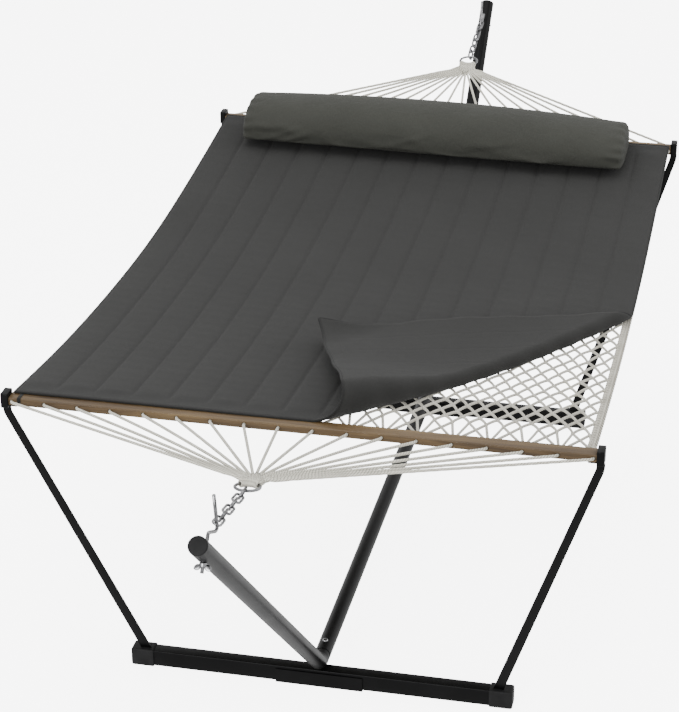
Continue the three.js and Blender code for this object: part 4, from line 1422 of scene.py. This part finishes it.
@dataclass
class Pad:
    """Quilted pad whose front right corner is folded back over itself."""

    palette: Palette
    ropes: RopeWork
    half: float = 0.70
    end: float = 1.006
    channels: int = 15
    thick: float = 0.013
    hem: float = 0.040
    fold_start: tuple = (0.068, -1.013)
    fold_along: tuple = (0.568, 0.823)
    roll_front: float = 0.046
    roll_back: float = 0.014
    fold_out: float = 0.010
    bulge: float = 0.020
    bulge_span: float = 1.16
    flap_reach: float = 0.94
    flap_rise: tuple = (0.026, 0.072)
    top_half: tuple = (0.0016, 0.0065)
    under_half: tuple = (0.0055, 0.0060)
    hem_half: float = 0.0030
    rim_half: float = 0.0012
    binding_size: tuple = (0.0042, 0.0030)
    binding_inset: float = 0.0012
    tie_x: float = -0.680
    tie_size: tuple = (0.009, 0.0012, 0.0005)

    def sag(self, y: Array) -> Array:
        """Height of the pad's middle surface."""
        return self.ropes.pad_top(y) - self.thick / 2

    def lay(self, u: Array, v: Array) -> Array:
        """Carries the flat cloth to where it lies.

        Cloth past the fold's line runs up a half circle of radius r and back on top. With a the
        distance past the tangent line of that circle, s = r - r sin(a/r) and the lift is
        r (1 - cos(a/r)) up to a = pi r; the flap beyond it goes inward by flap_reach of its length
        and sinks to rest on the pad. The fold's line bows outward by out, and r shrinks along it.

        Args:
            u: Flat place across.
            v: Flat place along.

        Returns:
            (..., 3) points of the middle surface.
        """
        along = unit(np.array(self.fold_along))
        inward = np.array([-along[1], along[0]])
        du, dv = u - self.fold_start[0], v - self.fold_start[1]
        t = du * along[0] + dv * along[1]
        out = self.fold_out + self.bulge * np.sin(math.pi * np.clip(t / self.bulge_span, 0, 1))
        out = out + 0.0016 * np.sin(t * 62.0)
        s = du * inward[0] + dv * inward[1] + out
        r = mix(self.roll_front, self.roll_back, smooth(0.0, 0.45, t))
        a = r - s
        angle = np.clip(a / r, 0, math.pi)
        back = np.maximum(a - math.pi * r, 0)
        s_new = np.where(a <= 0, s, r - r * np.sin(angle) + self.flap_reach * back) - out
        settle_down = smooth(0.0, 0.50, back)
        hem_side = smooth(-0.45, -0.98, v) * (1 - smooth(0.33, 0.52, back))
        near, far = self.flap_rise
        rest = self.thick + 0.001 + near * hem_side + far * (1 - hem_side)
        ripple = 0.0035 * np.sin(17.0 * t + 9.0 * back) * smooth(0.05, 0.2, back)
        lift = np.where(back > 0, mix(2 * r, rest + ripple * (0.3 + hem_side), settle_down),
                        r * (1 - np.cos(angle)))
        lift = np.where(a <= 0, 0, lift)
        x = self.fold_start[0] + t * along[0] + s_new * inward[0]
        y = self.fold_start[1] + t * along[1] + s_new * inward[1]
        calm = np.sin(5.1 * u + 1.3) * np.sin(7.3 * v + 0.4) * 0.0012
        return np.stack([x, y, self.sag(y) + lift + calm], -1)

    def half_thickness(self, u: Array, v: Array, low: float, high: float) -> Array:
        """Half the pad's thickness: each channel is a low arch, flat in the hem bands.

        Args:
            u: Flat place across.
            v: Flat place along.
            low: Half thickness at a seam.
            high: Half thickness at a channel's crest.

        Returns:
            The half thickness at each place.
        """
        width = 2 * self.half / self.channels
        place = ((u + self.half) / width) % 1.0
        arch = np.clip(1 - (2 * place - 1) ** 2, 0, 1) ** 0.5
        quilted = smooth(self.end - self.hem + 0.012, self.end - self.hem - 0.03, np.abs(v))
        pinch = 1 - 0.05 * np.sin(v * 95 + u * 31) * np.sin(v * 41 - u * 12)
        puffed = low + (high - low) * arch * pinch
        edge = np.minimum(smooth(self.half, self.half - 0.006, np.abs(u)),
                          smooth(self.end, self.end - 0.004, np.abs(v)))
        return mix(self.rim_half, mix(self.hem_half, puffed, quilted), edge)

    def build(self) -> None:
        """Makes the pad, its binding and its corner tie."""
        per = 12
        f = (1 - np.cos(np.linspace(0, math.pi, per + 1))) / 2
        f = 0.45 * f + 0.55 * np.linspace(0, 1, per + 1)
        width = 2 * self.half / self.channels
        starts = -self.half + width * np.arange(self.channels)
        us = np.append((starts[:, None] + width * f[:-1]).ravel(), self.half)
        vs = np.concatenate([np.linspace(-self.end, -0.02, 184)[:-1],
                             np.linspace(-0.02, self.end, 88)])
        v, u = np.meshgrid(vs, us, indexing="ij")
        middle = self.lay(u, v)
        normal = unit(np.cross(np.gradient(middle, axis=1), np.gradient(middle, axis=0)))
        top = middle + normal * self.half_thickness(u, v, *self.top_half)[..., None]
        bottom = middle - normal * self.half_thickness(u, v, *self.under_half)[..., None]
        draft = Draft().slab(top, bottom, joined(u, v))
        piece = draft.finish("quilted_pad", self.palette.pad, "pad")
        self.make_binding()
        self.make_tie()

    def make_binding(self) -> None:
        """Narrow bias binding sewn round the pad's rim."""
        draft, inset = Draft(), self.binding_inset
        side, end = self.half - inset, self.end - inset
        vs, us = np.linspace(-end, end, 460), np.linspace(-side, side, 360)
        rims = [(np.full(len(vs), u), vs) for u in (-side, side)]
        rims += [(us, np.full(len(us), v)) for v in (-end, end)]
        for u, v in rims:
            path = self.lay(u, v)
            step = unit(np.gradient(path, axis=0))
            ahead = self.lay(u * 0.995, v * 0.995) - path
            across = unit(ahead - (ahead * step).sum(-1, keepdims=True) * step)
            square = np.cross(step, across)
            ring = circle(1.0, 10) * np.array(self.binding_size)
            points = (path[:, None] + ring[:, :1] * across[:, None]
                      + ring[:, 1:] * square[:, None])
            draft.bar(points, ring_uv(path, 10) * np.array([0.02, 1.0]))
        draft.finish("pad_binding", self.palette.binding)

    def make_tie(self) -> None:
        """Narrow fabric tie round the front bar at the pad's left corner."""
        inner_y, inner_z, x = 0.0187, 0.0108, self.tie_x
        y, z = -self.ropes.bar_y, BAR_Z
        path = route([(x, y + 0.0125, z + inner_z), (x, y - inner_y, z + inner_z),
                      (x, y - inner_y, z - inner_z), (x, y + inner_y, z - inner_z),
                      (x, y + inner_y, z + 0.004)], 0.003, 6)
        draft = webbing(path, *self.tie_size, 0.02)
        draft.finish("corner_tie", self.palette.binding, "pad_corner_loop")


# --------------------------------------------------------------------------- pillow


@dataclass
class Pillow:
    """Bolster that lies across the pad at the rear, slightly turned, with two straps."""

    palette: Palette
    ropes: RopeWork
    centre_x: float = -0.010
    half: float = 0.592
    centre_y: float = 0.907
    yaw: float = -0.026
    deep: float = 0.140
    waist: float = 0.20
    crown_z: float = 0.998
    droop: float = 0.020
    lean: float = 0.008
    upper_power: float = 0.96
    lower_power: float = 0.55
    wrinkle_count: int = 34
    strap_x: float = 0.4118
    strap_size: tuple = (0.025, 0.0018, 0.0007)

    def top(self, x: Array) -> Array:
        """Height of the bolster's crown along its length."""
        return self.crown_z - self.droop * (x / self.half) ** 2 - self.lean * x

    def build(self) -> None:
        """Makes the bolster and its straps."""
        rows, sides = 260, 112
        s = np.sin(np.linspace(-math.pi / 2, math.pi / 2, rows))
        s = 0.8 * s + 0.2 * np.linspace(-1, 1, rows)
        a = np.arange(sides) * FULL_TURN / sides
        s_grid, a_grid = np.meshgrid(s, a, indexing="ij")
        x = self.centre_x + self.half * s_grid
        taper = np.clip(1 - np.abs(s_grid) ** 110, 0.0, 1) ** 0.30
        blunt = 1 - 0.03 * np.abs(s_grid) ** 6
        crown = self.top(x)
        floor = self.ropes.pad_top(np.full_like(x, self.centre_y)) + 0.002
        c, d = np.cos(a_grid), np.sin(a_grid)
        middle = mix(floor, crown, self.waist)
        high = np.where(d > 0, crown - middle, middle - floor)
        power = np.where(d > 0, self.upper_power, self.lower_power)
        round_y = np.sign(c) * np.abs(c) ** power
        round_z = np.sign(d) * np.abs(d) ** power
        wrinkle = self.wrinkles(s_grid, a_grid)
        reach = np.maximum(taper, 0.035)
        y = (self.centre_y + self.yaw * x + self.deep * blunt * reach * round_y
             * (1 + wrinkle))
        z = middle + high * blunt * reach * round_z * (1 + wrinkle)
        ground = self.ropes.pad_top(y) + 0.0018
        z = np.maximum(z, ground + np.maximum(0, 0.0012 * np.sin(31 * x) * np.sin(5 * a_grid)))
        points = np.stack([x, y, z], -1)
        span = joined(np.linspace(0, 0.62, sides + 1), (self.half * s)[:, None])
        piece = Draft().bar(points, span).finish("bolster", self.palette.pillow, "pillow",
                                                 body="pillow")
        for side in Side:
            self.make_strap(side)

    def wrinkles(self, s: Array, a: Array) -> Array:
        """Relative swell of the cloth: long folds low on the front, gathers at the ends.

        Each fold is a narrow ridge cos^2 of the distance from a slanting line, faded along s.

        Args:
            s: Place along the bolster, -1 to 1.
            a: Angle round it, 0 at the rear, pi at the front.

        Returns:
            The swell, about 0.
        """
        rng = np.random.default_rng(11)
        swell = 0.014 * np.sin(3.1 * s + 0.7) * np.sin(2 * a + 0.5)
        for _ in range(self.wrinkle_count):
            where, turn = rng.uniform(-0.95, 0.95), rng.uniform(0.86, 1.12) * math.pi
            length, slant = rng.uniform(0.03, 0.12), rng.uniform(-2.2, 2.2)
            width, height = rng.uniform(0.08, 0.20), rng.uniform(0.012, 0.030)
            off = (a - turn - slant * (s - where)) / width
            along = (s - where) / length
            swell = swell + height * np.exp(-off ** 2 - along ** 2) \
                - 0.6 * height * np.exp(-(off - 1.4) ** 2 - along ** 2)
        near = np.clip((np.abs(s) - 0.90) / 0.10, 0, 1) ** 1.5
        swell = swell + near * 0.035 * np.sin(17 * a + 3 * s)
        return swell

    def make_strap(self, side: Side) -> None:
        """Flat webbing from under the bolster over the rear bar and down behind it."""
        x = self.strap_x * side.sign(End.FRONT)
        path = route([(x, 1.010, 0.8885), (x, 1.0415, 0.8885), (x, 1.0415, 0.8585)], 0.006, 8)
        draft = webbing(path, *self.strap_size, 0.05)
        name = f"pillow_{side.value}_strap"
        draft.finish(f"{name}_web", self.palette.pillow, name)


# --------------------------------------------------------------------------- studio


@dataclass
class Studio:
    """Camera, pale floor and soft light."""

    eye: tuple = (1.0984, -5.5775, 3.3157)
    yaw: float = -0.2163
    pitch: float = 0.4499
    roll: float = -0.0043
    lens: float = 113.94
    shift: tuple = (0.0044, 0.0)

    def build(self) -> None:
        """Sets up everything that isn't part of the object."""
        self.make_camera()
        self.make_floor()
        self.make_lights()

    def make_camera(self) -> None:
        """A long lens above the front right, looking down along the bed."""
        ahead = np.array([math.sin(self.yaw) * math.cos(self.pitch),
                          math.cos(self.yaw) * math.cos(self.pitch), -math.sin(self.pitch)])
        right = np.array([math.cos(self.yaw), -math.sin(self.yaw), 0.0])
        up = np.cross(right, ahead)
        c, s = math.cos(self.roll), math.sin(self.roll)
        right, up = c * right + s * up, -s * right + c * up
        data = bpy.data.cameras.new("studio_camera")
        data.lens, data.sensor_width = self.lens, 36.0
        data.shift_x, data.shift_y = self.shift
        data.clip_end = 60.0
        bpy.context.scene.camera = aim("studio_camera", data, self.eye, right, up, -ahead)

    def make_floor(self) -> None:
        """A wide pale floor just under the feet."""
        size = 40.0
        corners = np.array([[[-size, -size, -0.001], [size, -size, -0.001]],
                            [[-size, size, -0.001], [size, size, -0.001]]])
        floor = Draft().grid(corners[:, ::-1]).build("studio_floor")
        ink = Ink("studio_floor")
        tone = ink.noise(ink.place(), 0.6, 2.0)
        floor.data.materials.append(ink.surface(
            Base_Color=ink.blend(tone, (0.93, 0.93, 0.93), (0.95, 0.95, 0.95)), Roughness=0.9,
            Emission_Color=(1.0, 1.0, 1.0), Emission_Strength=6.0))
        floor.visible_diffuse = floor.visible_glossy = False

    def make_lights(self) -> None:
        """White surroundings, a large overhead light and a soft key from the front left."""
        world = bpy.data.worlds.new("studio_air")
        world.use_nodes = True
        ground = world.node_tree.nodes["Background"]
        ground.inputs["Color"].default_value = (1.0, 1.0, 1.0, 1.0)
        ground.inputs["Strength"].default_value = 1.32
        bpy.context.scene.world = world
        for name, place, target, size, power in (
                ("overhead_light", (-0.6, 0.8, 5.0), (0, 0, 0.4), 5.0, 120.0),
                ("key_light", (-1.2, -6.4, 3.2), (0, 0.4, 0.9), 2.6, 260.0),
                ("side_light", (4.5, 1.5, 3.0), (0, 0, 0.6), 2.6, 80.0)):
            data = bpy.data.lights.new(name, "AREA")
            data.shape, data.size, data.energy = "DISK", size, power
            back = unit(np.array(place, float) - np.array(target, float))
            right = unit(np.cross((0.0, 1.0, 0.001), back))
            aim(name, data, place, right, np.cross(back, right), back)


def aim(name: str, data: bpy.types.ID, place: Sequence[float], *axes: Array) -> bpy.types.Object:
    """Puts a camera or lamp in the scene.

    Args:
        name: The object's name.
        data: Its camera or light.
        place: Where it stands.
        axes: Its x, y and z directions. It looks along -z.

    Returns:
        The new object.
    """
    made = bpy.data.objects.new(name, data)
    frame = np.eye(4)
    frame[:3] = np.stack([*axes, place], -1)
    made.matrix_world = Matrix(frame.tolist())
    bpy.context.scene.collection.objects.link(made)
    return made


def dress_screws(frame: dict, palette: Palette) -> None:
    """Gives the bar screws, which keep their CAD shape, the stand's paint.

    Args:
        frame: The loaded frame.
        palette: The finishes.
    """
    for name, node in frame["nodes"].items():
        if name.endswith("_bar_screw"):
            for slot in node.material_slots:
                slot.material = palette.steel.material


def main() -> None:
    """Builds the hammock and its studio around the frame."""
    logging.basicConfig(level=logging.INFO, format="%(name)s: %(message)s")
    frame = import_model()
    Studio().build()
    palette = Palette()
    stand = Stand(palette)
    stand.build()
    Hardware(palette, stand).build()
    ropes = RopeWork(palette)
    ropes.build()
    Pad(palette, ropes).build()
    Pillow(palette, ropes).build()
    dress_screws(frame, palette)


if __name__ == "__main__":
    main()
